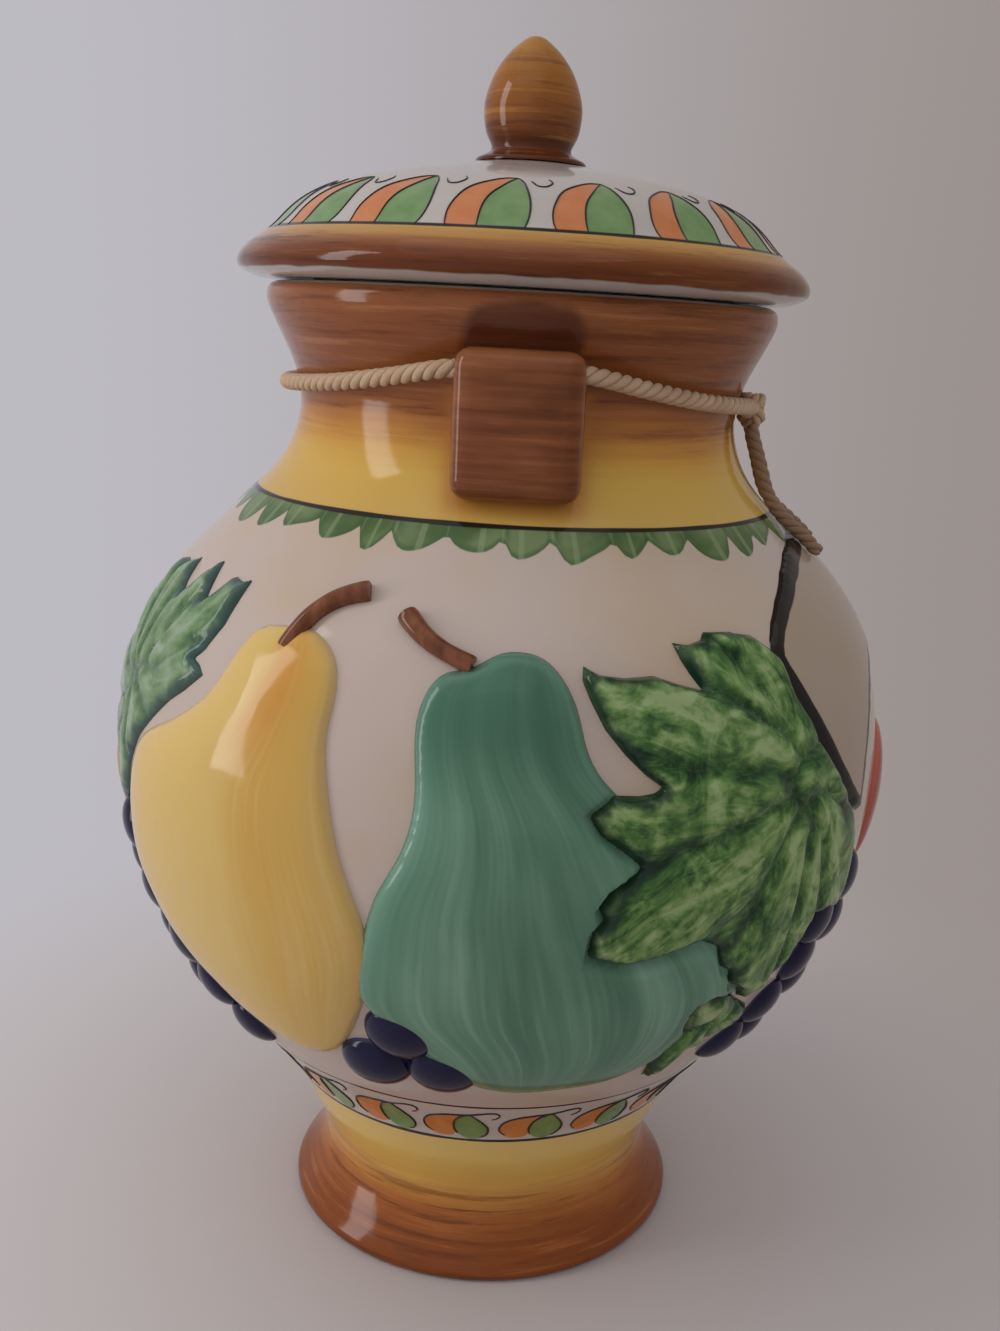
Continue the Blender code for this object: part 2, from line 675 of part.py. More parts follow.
teal_outline = smooth_loop(flat(TEAL_PEAR), 40)
gold_outline = smooth_loop(flat(GOLD_PEAR), 40)
leaf_outline = flat(VINE_LEAF)
small_outline = flat(SMALL_LEAF)
back_leaf_outline = flat(BACK_LEAF)
sign_outline = flat(across_front(SIGN_HALF, 90))
fruit_outline = smooth_loop(flat(across_front(FRONT_FRUIT, 90)), 28)
behind_outline = fruit_outline - [math.pi * BELLY_RADIUS, 0]
mirrored_leaf = flat([(180 - a, h) for a, h in VINE_LEAF])[::-1]
mirrored_back_leaf = flat([(-180 - a, h) for a, h in BACK_LEAF])[::-1]

# How far in from its edge each kind rises to its full relief
PEAR_CROWN = 0.012
FRUIT_CROWN = 0.014
LEAF_CROWN = 0.005
SIGN_CROWN = 0.002
teal_pear = sprig(
    "teal_pear_left", teal_outline, PEAR_RELIEF, PEAR_CROWN, TEAL, [leaf_outline, small_outline]
)
gold_pear = sprig("gold_pear_left", gold_outline, PEAR_RELIEF, PEAR_CROWN, GOLD, [teal_outline])
vine_leaf = sprig("vine_leaf_left", leaf_outline, LEAF_RELIEF, LEAF_CROWN, GREEN)
small_leaf = sprig("small_leaf_left", small_outline, LEAF_RELIEF, LEAF_CROWN, GREEN)
back_leaf = sprig(
    "back_leaf_left", back_leaf_outline, BACK_LEAF_RELIEF, LEAF_CROWN, GREEN, [gold_outline]
)
sign = sprig(
    "sign_panel", sign_outline, SIGN_RELIEF, SIGN_CROWN, CREAM, [leaf_outline, mirrored_leaf]
)
front_fruit = sprig("red_fruit_front", fruit_outline, FRUIT_RELIEF, FRUIT_CROWN, RED)
back_fruit = sprig(
    "peach_fruit_back",
    behind_outline,
    FRUIT_RELIEF,
    FRUIT_CROWN,
    PEACH,
    [back_leaf_outline, mirrored_back_leaf],
)

# Grapes and stems lie over the pears and leaves, which are hollowed for them
# A grape is a share of the belly each way, as its place is, so neighbours always overlap
small_grape = (GRAPE_SHARE * BELLY_RADIUS, GRAPE_RELIEF)
big_grape = (BIG_GRAPE_SHARE * BELLY_RADIUS, BIG_GRAPE_RELIEF)
bunches = (
    ("grape_trio_left", TRIO, big_grape, (teal_pear, gold_pear)),
    ("front_grapes_left", FRONT_GRAPES, small_grape, (vine_leaf, small_leaf, front_fruit)),
    ("back_grapes_left", BACK_GRAPES, small_grape, (gold_pear, back_leaf, back_fruit)),
)
left_pieces = [teal_pear, gold_pear, vine_leaf, small_leaf, back_leaf]
for name, centres, grape, hosts in bunches:
    left_pieces.append(grapes(name, centres, *grape))
    tool = as_cutter(grape_balls(f"{name}_clearance", centres, *grape, SIDE_GAP))
    for host in hosts:
        cut(host, tool)
for name, route, host in (
    ("gold_pear_stem_left", GOLD_STEM, gold_pear),
    ("teal_pear_stem_left", TEAL_STEM, teal_pear),
):
    stem = stem_tube(name, route, STEM_DIAMETER)
    boolean(stem, "DIFFERENCE", wall_cutter)
    left_pieces.append(keep(made_mesh(stem), BROWN))
    cut(host, as_cutter(stem_tube(f"{name}_clearance", route, STEM_DIAMETER + 2 * SIDE_GAP)))
for piece in left_pieces:
    other_side(piece)

# Cord: a loop round the neck through both lugs, tied at the front, with two hanging tails
CORD_STAND = CORD_RADIUS + GAP
CORD_POINTS = 64
TAIL_POINTS = 11


def cord_tube(name, points, radius):
    """A stretch of cord along points that a smooth curve runs through."""
    curve = bpy.data.curves.new(name, "CURVE")
    curve.dimensions = "3D"
    curve.bevel_depth = radius
    curve.bevel_resolution = 2
    curve.use_fill_caps = True
    spline = curve.splines.new("POLY")
    spline.points.add(len(points) - 1)
    for point, place in zip(spline.points, points):
        point.co = (*place, 1)
    obj = bpy.data.objects.new(name, curve)
    bpy.context.scene.collection.objects.link(obj)
    return keep(made_mesh(obj), CORD)


# Round the neck, over a quarter turn from a lug: angle, height, and how far off the wall it lies
QUARTER = (
    (22, 0.2264, 0.0020),
    (31, 0.2249, 0.0006),
    (42, 0.2234, 0.0002),
    (55, 0.2223, 0.0001),
    (68, 0.2217, 0.0002),
    (81, 0.2214, 0.0004),
)


def round_neck(angle, height, off):
    """A point of the cord lying against the neck."""
    return on_wall(angle, height, CORD_STAND + off)


def lug_points(side):
    """The cord's straight way through a lug, in the order in which the loop is drawn."""
    return [(side * HOLE_X, side * LUG_WIDTH / 2 * t, HOLE_Z) for t in (-1, 0, 1)]


KNOT_Z = 0.2211
knot_middle = on_wall(KNOT_ANGLE, KNOT_Z, GAP + KNOT_DEPTH / 2)
loop_gap = math.degrees((KNOT_LENGTH / 2 + GAP) / (wall(KNOT_Z) + CORD_STAND))
loop = [on_wall(KNOT_ANGLE + loop_gap, KNOT_Z, GAP + KNOT_DEPTH / 2)]
loop += [round_neck(180 - a, h, off) for a, h, off in QUARTER[::-1]]
loop += lug_points(1)
loop += [round_neck(180 + a, h, off) for a, h, off in QUARTER]
loop += [round_neck(360 - a, h, off) for a, h, off in QUARTER[::-1]]
loop += lug_points(-1)
loop += [round_neck(a, h, off) for a, h, off in QUARTER[:-1]]
loop += [on_wall(KNOT_ANGLE - loop_gap, KNOT_Z, GAP + KNOT_DEPTH / 2)]
cord_tube("neck_cord", smooth(loop, CORD_POINTS), CORD_RADIUS)

bpy.ops.mesh.primitive_uv_sphere_add(segments=14, ring_count=10, radius=0.5)
knot = bpy.context.active_object
knot.name = "cord_knot"
knot.scale = (KNOT_LENGTH, KNOT_DEPTH, KNOT_HEIGHT)
knot.location = knot_middle
knot.rotation_euler = (0, 0, math.radians(KNOT_ANGLE - 90))
bpy.ops.object.transform_apply(location=True, rotation=True, scale=True)
keep(knot, CORD)

# Tails: degrees from the knot, height, and how far the cord's middle stands out of the wall
TAIL_ROUTE = (
    (5.0, 0.2150, 0.0046),
    (6.6, 0.2110, 0.0052),
    (8.0, 0.2070, 0.0052),
    (9.4, 0.2025, 0.0043),
    (10.4, 0.1988, 0.0034),
    (10.7, 0.1955, 0.0034),
    (10.5, 0.1925, 0.0042),
    (10.0, 0.1895, 0.0047),
    (9.7, 0.1880, 0.0047),
)
for side, hand in ((-1, "left"), (1, "right")):
    places = [on_wall(KNOT_ANGLE + side * a, h, stand) for a, h, stand in TAIL_ROUTE]
    cord_tube(f"cord_tail_{hand}", smooth(places, TAIL_POINTS), TAIL_DIAMETER / 2)
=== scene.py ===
"""A painted and glazed biscuit jar with moulded fruit, a lift-off lid and a cord tied round its neck.

Lengths in the lists are in millimetres. Angles are in degrees round the jar from the left lug, so
that 90 is the front with the sign.
"""

import math

import bpy
import numpy as np
from mathutils import Matrix, Vector, geometry


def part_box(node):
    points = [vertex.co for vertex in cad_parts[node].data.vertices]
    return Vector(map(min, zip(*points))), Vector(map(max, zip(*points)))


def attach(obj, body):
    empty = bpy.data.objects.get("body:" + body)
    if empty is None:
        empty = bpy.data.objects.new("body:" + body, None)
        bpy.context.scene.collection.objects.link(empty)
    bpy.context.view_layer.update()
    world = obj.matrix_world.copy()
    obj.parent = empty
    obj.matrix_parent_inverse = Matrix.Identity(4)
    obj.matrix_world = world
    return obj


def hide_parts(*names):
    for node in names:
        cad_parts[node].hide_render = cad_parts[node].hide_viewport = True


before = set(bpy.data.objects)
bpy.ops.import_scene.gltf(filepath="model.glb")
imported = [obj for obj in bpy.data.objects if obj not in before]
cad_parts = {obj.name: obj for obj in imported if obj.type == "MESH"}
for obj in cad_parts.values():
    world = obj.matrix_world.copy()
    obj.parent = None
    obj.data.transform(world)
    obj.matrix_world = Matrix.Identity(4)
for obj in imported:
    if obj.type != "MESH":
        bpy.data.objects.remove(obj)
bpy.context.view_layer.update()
MM = 0.001

# Camera: in front of the left lug, a little below the lid's height, looking slightly down and held
# a little crooked.
bpy.ops.object.camera_add(location=(-0.3508, 0, 0.2370))
camera = bpy.context.active_object
camera.rotation_euler = (
    Matrix.Rotation(math.radians(-91.61), 3, "Z")
    @ Matrix.Rotation(math.radians(74.14), 3, "X")
    @ Matrix.Rotation(math.radians(3.25), 3, "Z")
).to_euler()
camera.data.lens = 36.92
camera.data.shift_x = -0.0305
camera.data.shift_y = 0.0379
camera.data.clip_start = 0.01
bpy.context.scene.camera = camera
bpy.context.scene.view_settings.view_transform = "Standard"

# Studio: a wide pale table that runs into the wall without an edge, an even sky, and one tall soft
# window to the left of the camera.
def add(paint, kind, inputs, output=0, **settings):
    """Add a node to a paint, or beside another node's output, and return one of its outputs."""
    tree = paint.id_data if isinstance(paint, bpy.types.NodeSocket) else paint.node_tree
    node = tree.nodes.new(f"ShaderNode{kind}")
    for key, value in settings.items():
        setattr(node, key, value)
    for key, value in inputs.items():
        if isinstance(value, bpy.types.NodeSocket):
            tree.links.new(value, node.inputs[key])
        else:
            node.inputs[key].default_value = value
    return node.outputs[output]


def reckon(operation, a, b=0.0, c=0.0):
    """Arithmetic on two or three values, one of them at least a node's output."""
    beside = next(value for value in (a, b, c) if isinstance(value, bpy.types.NodeSocket))
    return add(beside, "Math", {0: a, 1: b, 2: c}, operation=operation)


def times(a, b):
    """The product of two values."""
    return reckon("MULTIPLY", a, b)


def added(value, share, base):
    """This share of a value, on top of another one."""
    return reckon("MULTIPLY_ADD", value, share, base)


def over(amount, under, colour):
    """One colour laid over another by an amount from 0 to 1."""
    under, colour = ((*c, 1) if isinstance(c, tuple) else c for c in (under, colour))
    return add(amount, "Mix", {0: amount, 6: under, 7: colour}, 2, data_type="RGBA")


def fade(value, low, high):
    """From 0 at low to 1 at high, smoothly."""
    inputs = {0: value, 1: low, 2: high, 3: 0.0, 4: 1.0}
    return add(value, "MapRange", inputs, interpolation_type="SMOOTHSTEP")


def wall_colour(paint):
    """What is seen of the room: a plain wall, cooler and lighter on the window's side."""
    way = add(paint, "NewGeometry", {}, "Incoming")
    share = fade(add(paint, "SeparateXYZ", {0: way}, 1), -0.36, 0.36)
    return over(share, (0.51, 0.495, 0.54), (0.325, 0.285, 0.27))


def looking(paint):
    """1 for the rays that see the room, 0 for those that only carry its light."""
    path = add(paint, "LightPath", {}).node.outputs
    either = reckon("MAXIMUM", path["Is Camera Ray"], path["Is Glossy Ray"])
    return reckon("MAXIMUM", either, path["Is Transmission Ray"])


bpy.ops.mesh.primitive_plane_add(size=8)
table = bpy.context.active_object
table.name = "table_top"
table_paint = bpy.data.materials.new("pale_table")
table_paint.use_nodes = True
table_shader = table_paint.node_tree.nodes["Principled BSDF"]
table_shader.inputs["Roughness"].default_value = 0.6
# The table top is painted lighter on the window's side and darker away from it: painted light and
# shade.
place = add(table_paint, "TexCoord", {}, 3)
sideways = add(table_paint, "SeparateXYZ", {0: place}, 1)
top = over(fade(sideways, 0.2, -0.2), (0.60, 0.55, 0.55), (0.50, 0.43, 0.42))
table_paint.node_tree.links.new(top, table_shader.inputs["Base Color"])
away = add(table_paint, "VectorMath", {0: place}, 1, operation="LENGTH")
away = times(fade(away, 0.13, 0.30), looking(table_paint))
wall = add(table_paint, "Emission", {0: wall_colour(table_paint)})
top = add(table_paint, "MixShader", {0: away, 1: table_shader.outputs[0], 2: wall})
table_paint.node_tree.links.new(top, table_paint.node_tree.nodes["Material Output"].inputs[0])
table.data.materials.append(table_paint)

room = bpy.data.worlds.new("soft_room")
room.use_nodes = True
bpy.context.scene.world = room
wall = add(room, "Background", {0: wall_colour(room)})
sky = add(room, "Background", {0: (0.95, 0.97, 1.0, 1), 1: 0.66})
both = add(room, "MixShader", {0: looking(room), 1: sky, 2: wall})
room.node_tree.links.new(both, room.node_tree.nodes["World Output"].inputs[0])

for name, place, aim, width, height, power in (
    ("window", (-0.22, 0.85, 0.42), (0, 0, 0.14), 0.23, 0.95, 3.5),
    ("ceiling_bounce", (-0.3, 0.1, 1.3), (0, 0, 0.1), 1.2, 1.2, 1.5),
):
    bpy.ops.object.light_add(type="AREA", location=place)
    lamp = bpy.context.active_object
    lamp.name = name
    lamp.data.shape = "RECTANGLE"
    lamp.data.size = width
    lamp.data.size_y = height
    lamp.data.energy = power
    lamp.rotation_euler = (Vector(aim) - Vector(place)).to_track_quat("-Z", "Y").to_euler()

# Jar: one slip-cast earthenware body, from its foot ring to its rounded lip. It is painted by hand in
# ceramic colours on an ivory ground, and covered all over with a clear glossy glaze.
JAR_SIDE = (
    (51.6, 0), (52.9, 0.8), (53.3, 2.4), (52.3, 4.6), (50.0, 7.5), (47.6, 11), (45.9, 14.5),
    (45.1, 18.5), (45.4, 22), (46.9, 26.5), (49.5, 32), (52.8, 39), (57, 46.5), (62.0, 53.5),
    (67.2, 60), (72.4, 66.5), (77.2, 73), (81.6, 79.5), (85.5, 87), (89.2, 95), (92.4, 104),
    (94.8, 113.5), (96.3, 124), (96.75, 135), (96.0, 146), (93.7, 157), (89.8, 167), (84.2, 176),
    (77.6, 183.5), (71.4, 189.5), (66.0, 195), (61.0, 200), (57.4, 205), (55.0, 210.5),
    (53.9, 216), (54.3, 221.5), (56.0, 227), (58.6, 232.5), (61.0, 237.5), (62.0, 240.5),
    (62.0, 241.9),
)
BELLY = 96.75
JAR_WALL = 5.5
LIP_TOP = 244.35
FOOT_LINE = 43.2
BAND_LINE = 59.8
NECK_LINE = 196.4
LINE_EDGE = 0.2
INK = (0.018, 0.014, 0.012)


def flowing(points, count):
    """Evenly spaced points on a smooth curve through the given ones (a natural cubic spline)."""
    points = np.array(points, float)
    steps = np.linalg.norm(np.diff(points, axis=0), axis=1)
    along = np.concatenate([[0], np.cumsum(steps)])
    size = len(points)
    matrix = np.eye(size)
    pull = np.zeros_like(points)
    for i in range(1, size - 1):
        matrix[i, i - 1 : i + 2] = steps[i - 1], 2 * (steps[i - 1] + steps[i]), steps[i]
        after = (points[i + 1] - points[i]) / steps[i]
        pull[i] = 6 * (after - (points[i] - points[i - 1]) / steps[i - 1])
    bend = np.linalg.solve(matrix, pull)
    read = np.linspace(0, along[-1], count)
    i = np.clip(np.searchsorted(along, read) - 1, 0, size - 2)
    b = ((read - along[i]) / steps[i])[:, None]
    a = 1 - b
    curve = a * points[i] + b * points[i + 1]
    return curve + ((a**3 - a) * bend[i] + (b**3 - b) * bend[i + 1]) * steps[i][:, None] ** 2 / 6


def rounded_loop(points, count):
    """A smooth closed outline through drawn points."""
    lap = 4
    wide = np.vstack([points[-lap:], points, points[: lap + 1]])
    fine = flowing(wide, 16 * len(wide))
    half = len(fine) // 2
    start = np.argmin(np.linalg.norm(fine[:half] - points[0], axis=1))
    end = half + np.argmin(np.linalg.norm(fine[half:] - points[0], axis=1))
    return fine[np.linspace(start, end, count, endpoint=False).round().astype(int)]


def normals_of(curve):
    """Unit normals of a side profile, pointing outwards."""
    along = np.gradient(curve, axis=0)
    along /= np.linalg.norm(along, axis=1)[:, None]
    return np.stack([along[:, 1], -along[:, 0]], axis=1)


side = flowing(JAR_SIDE, 600)
side_normals = normals_of(side)


def on_wall(angle, height, proud):
    """The place that stands this far off the jar's wall, square to it."""
    turn = np.radians(angle)
    radius = np.interp(height, side[:, 1], side[:, 0])
    out = np.interp(height, side[:, 1], side_normals[:, 0])
    rise = np.interp(height, side[:, 1], side_normals[:, 1])
    radius = radius + proud * out
    place = [-radius * np.cos(turn), -radius * np.sin(turn), height + proud * rise]
    return np.stack(np.broadcast_arrays(*place), axis=-1)


def thrown(name, profile, around):
    """Draw a side profile point by point and spin it round the jar's axis."""
    bpy.ops.object.select_all(action="DESELECT")
    bpy.ops.mesh.primitive_plane_add(size=MM)
    piece = bpy.context.active_object
    piece.name = name
    bpy.ops.object.mode_set(mode="EDIT")
    bpy.ops.mesh.merge(type="CENTER")
    profile = np.array(profile, float) * MM
    bpy.ops.transform.translate(value=(profile[0][0], 0, profile[0][1]))
    for step in np.diff(profile, axis=0):
        bpy.ops.mesh.extrude_region_move(TRANSFORM_OT_translate={"value": (step[0], 0, step[1])})
    bpy.ops.mesh.select_all(action="SELECT")
    bpy.ops.mesh.spin(steps=around, angle=2 * math.pi, center=(0, 0, 0), axis=(0, 0, 1))
    bpy.ops.mesh.select_all(action="SELECT")
    bpy.ops.mesh.remove_doubles(threshold=0.00001)
    bpy.ops.mesh.normals_make_consistent(inside=False)
    bpy.ops.object.mode_set(mode="OBJECT")
    bpy.ops.object.shade_smooth()
    bpy.ops.object.shade_smooth_by_angle(angle=math.radians(40))
    return piece


def points_of(piece):
    """A piece's points in millimetres."""
    points = np.empty(len(piece.data.vertices) * 3)
    piece.data.vertices.foreach_get("co", points)
    return points.reshape(-1, 3) / MM


def round_axis(piece):
    """The angle round the jar, the radius and the height of each of a piece's points."""
    x, y, height = points_of(piece).T
    return np.degrees(np.arctan2(-y, -x)), np.hypot(x, y), height


def note(piece, name, values):
    """Write one number for every point of a piece, for its paint to read."""
    attribute = piece.data.attributes.new(name, "FLOAT", "POINT")
    attribute.data.foreach_set("value", np.asarray(values, np.float32))


def depth_in(points, outline):
    """How deep each point lies inside a closed outline, less than 0 outside it."""
    depth = np.full(len(points), 1e9)
    inside = np.zeros(len(points), bool)
    for a, b in zip(outline, np.roll(outline, -1, axis=0)):
        along = b - a
        to = points - a
        share = np.clip(to @ along / max(along @ along, 1e-12), 0, 1)
        depth = np.minimum(depth, np.hypot(*(to - share[:, None] * along).T))
        if a[1] != b[1]:
            level = (points[:, 1] >= min(a[1], b[1])) & (points[:, 1] < max(a[1], b[1]))
            cross = a[0] + (points[:, 1] - a[1]) * along[0] / along[1]
            inside ^= level & (points[:, 0] < cross)
    return np.where(inside, depth, -depth)


def plug(paint, name, value):
    """Give an input of a paint's shader a number or a node's output."""
    socket = paint.node_tree.nodes["Principled BSDF"].inputs[name]
    if isinstance(value, bpy.types.NodeSocket):
        paint.node_tree.links.new(value, socket)
    else:
        socket.default_value = value


def new_paint(name, roughness=0.11):
    """A material with a glossy glaze over it."""
    paint = bpy.data.materials.new(name)
    paint.use_nodes = True
    plug(paint, "Roughness", roughness)
    plug(paint, "IOR", 1.52)
    plug(paint, "Specular IOR Level", 0.20)
    plug(paint, "Coat Weight", 0.08)
    plug(paint, "Coat Roughness", 0.04)
    return paint


def line(value, middle, half_width):
    """1 within a painted line's half width of its middle, 0 beyond it."""
    off = reckon("ABSOLUTE", reckon("SUBTRACT", value, middle))
    return fade(reckon("SUBTRACT", half_width, off), -0.12, 0.12)


def graded(value, low, high, stops):
    """Colours that blend into one another at heights between low and high."""
    share = add(value, "MapRange", {0: value, 1: low, 2: high, 3: 0.0, 4: 1.0})
    output = add(share, "ValToRGB", {0: share})
    ramp = output.node.color_ramp
    while len(ramp.elements) < len(stops):
        ramp.elements.new(0.5)
    for element, (place, colour) in zip(ramp.elements, stops):
        element.position = (place - low) / (high - low)
        element.color = (*colour, 1)
    return output


def noted(paint, name):
    """The number that was written on the piece's points."""
    return add(paint, "Attribute", {}, 2, attribute_name=name)


def speckle(place, stretch, detail=3.0, roughness=0.5):
    """Cloudy variation from 0 to 1, its grains this many to the metre each way."""
    scaled = add(place, "Mapping", {"Vector": place, "Scale": stretch})
    inputs = {"Vector": scaled, "Scale": 1.0, "Detail": detail, "Roughness": roughness}
    return add(scaled, "TexNoise", inputs)


def place_on(paint):
    """Object coordinates."""
    return add(paint, "TexCoord", {}, 3)


def height_on(place):
    """Height above the table, in millimetres."""
    return times(add(place, "SeparateXYZ", {0: place}, 2), 1000.0)


def swing(place, stretch, detail=3.0, roughness=0.5):
    """Cloudy variation either side of 0."""
    return reckon("SUBTRACT", speckle(place, stretch, detail, roughness), 0.5)


def filled_in(colour, dabs, **motifs):
    """Each noted motif filled with a colour that was dabbed on between two tones."""
    for name, (low, high) in motifs.items():
        tone = over(dabs, low, high)
        colour = over(fade(noted(dabs, name), -0.2, 0.2), colour, tone)
    return colour


def bristled(colour, where, dark, light):
    """Dark and light marks of a brush that was held to the turning piece, where it was brushed."""
    hairs = speckle(place_on(where), (20, 20, 430), 5.0, 0.72)
    marks = times(fade(hairs, 0.50, 0.36), 0.7)
    colour = over(times(marks, where), colour, dark)
    marks = times(fade(hairs, 0.53, 0.68), 0.5)
    return over(times(marks, where), colour, light)


def finish_paint(paint, colour, ripple=1.0):
    """Plug the colour in, and let the glaze lie in faint ripples."""
    place = place_on(paint)
    wave = speckle(place, (34, 34, 34), 1.0)
    fine = speckle(place, (190, 190, 190), 1.0)
    height = added(fine, 0.12, wave)
    inputs = {"Height": height, "Strength": 0.35 * ripple, "Distance": 0.002}
    plug(paint, "Normal", add(paint, "Bump", inputs))
    plug(paint, "Base Color", colour)


def seat(piece, node, paint, body="jar"):
    """Paint a piece that stands for its plain solid and stays with its body."""
    piece.data.materials.append(paint)
    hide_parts(node)
    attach(piece, body)


# The foot's painted motif: an orange bean and a green leaf side by side, and the pen strokes round
# them. Both ways count in shares of the room that one motif has, from the bean's left end.
FOOT_BEAN = (
    (0.08, 0.14), (0.01, 0.26), (0.0, 0.36), (0.03, 0.49), (0.11, 0.61), (0.25, 0.69), (0.41, 0.73),
    (0.55, 0.72), (0.47, 0.62), (0.42, 0.5), (0.40, 0.36), (0.42, 0.2), (0.36, 0.1), (0.25, 0.08),
    (0.15, 0.09),
)
FOOT_LEAF = (
    (0.62, 0.75), (0.52, 0.69), (0.44, 0.57), (0.41, 0.42), (0.41, 0.28), (0.46, 0.14), (0.54, 0.06),
    (0.64, 0.03), (0.74, 0.06), (0.82, 0.15), (0.855, 0.27), (0.84, 0.38), (0.78, 0.5), (0.70, 0.64),
)
FOOT_PEN = (
    ((0.09, 0.17), (0.015, 0.26), (0.0, 0.36), (0.03, 0.49), (0.11, 0.61), (0.25, 0.69), (0.41, 0.73),
     (0.60, 0.75), (0.73, 0.79), (0.85, 0.83), (0.955, 0.82), (0.985, 0.74), (0.955, 0.67),
     (0.895, 0.63)),
    ((0.62, 0.75), (0.52, 0.69), (0.44, 0.57), (0.405, 0.42), (0.41, 0.26), (0.44, 0.17)),
    ((0.62, 0.75), (0.70, 0.64), (0.78, 0.51), (0.84, 0.39), (0.858, 0.27), (0.82, 0.15), (0.75, 0.09)),
)
FOOT_MOTIFS = 20
FOOT_START = -14.3


def note_motifs(piece, angles, share_up, motifs, start, room, shapes):
    """Write how deep each point lies in the orange and in the green shapes, in millimetres."""
    across = ((angles - start) * motifs / 360 + 0.08) % 1.0 - 0.08
    places = np.stack([across, share_up], axis=1) * room
    near = (share_up > -0.2) & (share_up < 1.2)
    for name, shape in zip(("orange", "green"), shapes):
        depth = np.full(len(places), -9.0)
        depth[near] = depth_in(places[near], rounded_loop(np.array(shape) * room, 60))
        note(piece, name, depth)


inner_side = (side - JAR_WALL * side_normals)[::-1]
inner_side = [p for p in inner_side if 13.5 < p[1] < LIP_TOP - 3]
LIP_MIDDLE = (59.25, 241.9)
LIP_ROUNDING = (2.75, 2.45)
lip_turn = np.radians(np.linspace(0, 180, 9))
lip = np.stack([np.cos(lip_turn), np.sin(lip_turn)], axis=1) * LIP_ROUNDING + LIP_MIDDLE
outer_side = side[np.linspace(0, 599, 225).astype(int)]
jar_profile = (
    [(0, 3.0), (22, 3.0), (43.2, 3.0), (43.6, 2.6), (43.6, 0.3), (43.9, 0.0), (51.2, 0.0)]
    + list(outer_side)
    + list(lip[1:-1])
    + inner_side[:: len(inner_side) // 48]
    + [(35.5, 10.2), (33, 9.0), (16, 9.0), (0, 9.0)]
)
jar = thrown("painted_jar", jar_profile, 320)
jar_angle, jar_radius, jar_height = round_axis(jar)
within = np.interp(jar_height, side[:, 1], side[:, 0]) - jar_radius > 1.6
within |= (jar_height > 3.5) & (jar_height < 9.5) & (jar_radius < 36)
note(jar, "inside", within)
note(jar, "bare", (jar_height < 3.4) & (jar_radius < 51.8) & ~within)
band_up = (jar_height - FOOT_LINE) / (BAND_LINE - FOOT_LINE)
band_up[within] = 9
note_motifs(jar, jar_angle, band_up, FOOT_MOTIFS, FOOT_START, (18.7, 21.0), (FOOT_BEAN, FOOT_LEAF))
COLLAR_LEAVES = 38
COLLAR_HEM = 194.6
LEAF_DROP = 3.9
leaf_turn = jar_angle * COLLAR_LEAVES / 360
uneven = 0.10 * np.sin(leaf_turn * 2.3) + 0.07 * np.sin(leaf_turn * 5.1 + 1)
leaf_share = (leaf_turn + uneven + 0.2) % 1.0
droop = np.where(leaf_share < 0.36, leaf_share / 0.36, (1 - leaf_share) / 0.64)
drop = (LEAF_DROP + 0.9 * np.sin(leaf_turn * 1.7)) * np.sin(droop * math.pi / 2) ** 0.9
hem = COLLAR_HEM - drop
note(jar, "collar", np.where(within, -9, jar_height - hem))
note(jar, "leaf_share", leaf_share)
LUG_HALF_WIDTH = 13.6
LUG_FOOT = 200.5
PATCH_HEIGHT = 233.5
beside_lug = np.abs((jar_angle + 90) % 180 - 90)
# Where the painted reflection of each lug lies: a patch on the neck just above it.
note(jar, "lug_reflection", 1 - np.hypot(beside_lug / 13.0, (jar_height - PATCH_HEIGHT) / 8.5))
past_lug = np.maximum(np.radians(beside_lug) * jar_radius - LUG_HALF_WIDTH, 0)
under_lug = np.maximum(LUG_FOOT - jar_height, 0)
note(jar, "pooled", np.exp(-(np.hypot(past_lug, under_lug) / 2.6) ** 2) * (jar_height < 224))

ivory = new_paint("painted_jar_glaze")
place = place_on(ivory)
height = height_on(place)
wander = swing(place, (45, 45, 45), 2.0)
strokes = swing(place, (14, 14, 620), 4.0, 0.6)
clouds = speckle(place, (16, 16, 16), 3.0)
ground = over(fade(clouds, 0.42, 0.75), (0.505, 0.405, 0.352), (0.505, 0.380, 0.270))
stain = fade(speckle(place, (26, 26, 34), 2.0), 0.56, 0.74)
ground = over(times(stain, 0.35), ground, (0.52, 0.35, 0.19))
brushed_height = added(strokes, 7.0, height)
brushed_height = added(wander, 5.0, brushed_height)
foot_paint = graded(
    brushed_height, 0, 46,
    [(0, (0.200, 0.051, 0.011)), (9, (0.235, 0.061, 0.013)), (14.5, (0.35, 0.108, 0.023)),
     (18.5, (0.49, 0.205, 0.045)), (25, (0.66, 0.37, 0.088)), (33, (0.72, 0.47, 0.125)),
     (44, (0.72, 0.49, 0.16))],
)
neck_paint = graded(
    brushed_height, 196, 246,
    [(196, (0.58, 0.365, 0.090)), (205, (0.61, 0.370, 0.074)), (210, (0.58, 0.300, 0.054)),
     (214, (0.48, 0.205, 0.042)), (218, (0.36, 0.128, 0.033)), (224, (0.265, 0.086, 0.025)),
     (232, (0.235, 0.072, 0.022)), (244, (0.285, 0.095, 0.032))],
)
on_brown = fade(height, 28, 15)
foot_paint = bristled(foot_paint, on_brown, (0.120, 0.032, 0.008), (0.42, 0.145, 0.033))
on_brown = fade(height, 208, 220)
neck_paint = bristled(neck_paint, on_brown, (0.130, 0.038, 0.013), (0.44, 0.18, 0.075))
pooled = times(noted(ivory, "pooled"), 0.75)
neck_paint = over(pooled, neck_paint, (0.50, 0.19, 0.035))
# A painted reflection of each lug: a dark patch laid on the glossy neck above it.
patch = added(wander, 1.4, noted(ivory, "lug_reflection"))
patch = times(fade(patch, 0.0, 0.3), 0.72)
neck_paint = over(patch, neck_paint, (0.060, 0.012, 0.005))
colour = over(fade(height, FOOT_LINE + LINE_EDGE / 2, FOOT_LINE - LINE_EDGE / 2), ground, foot_paint)
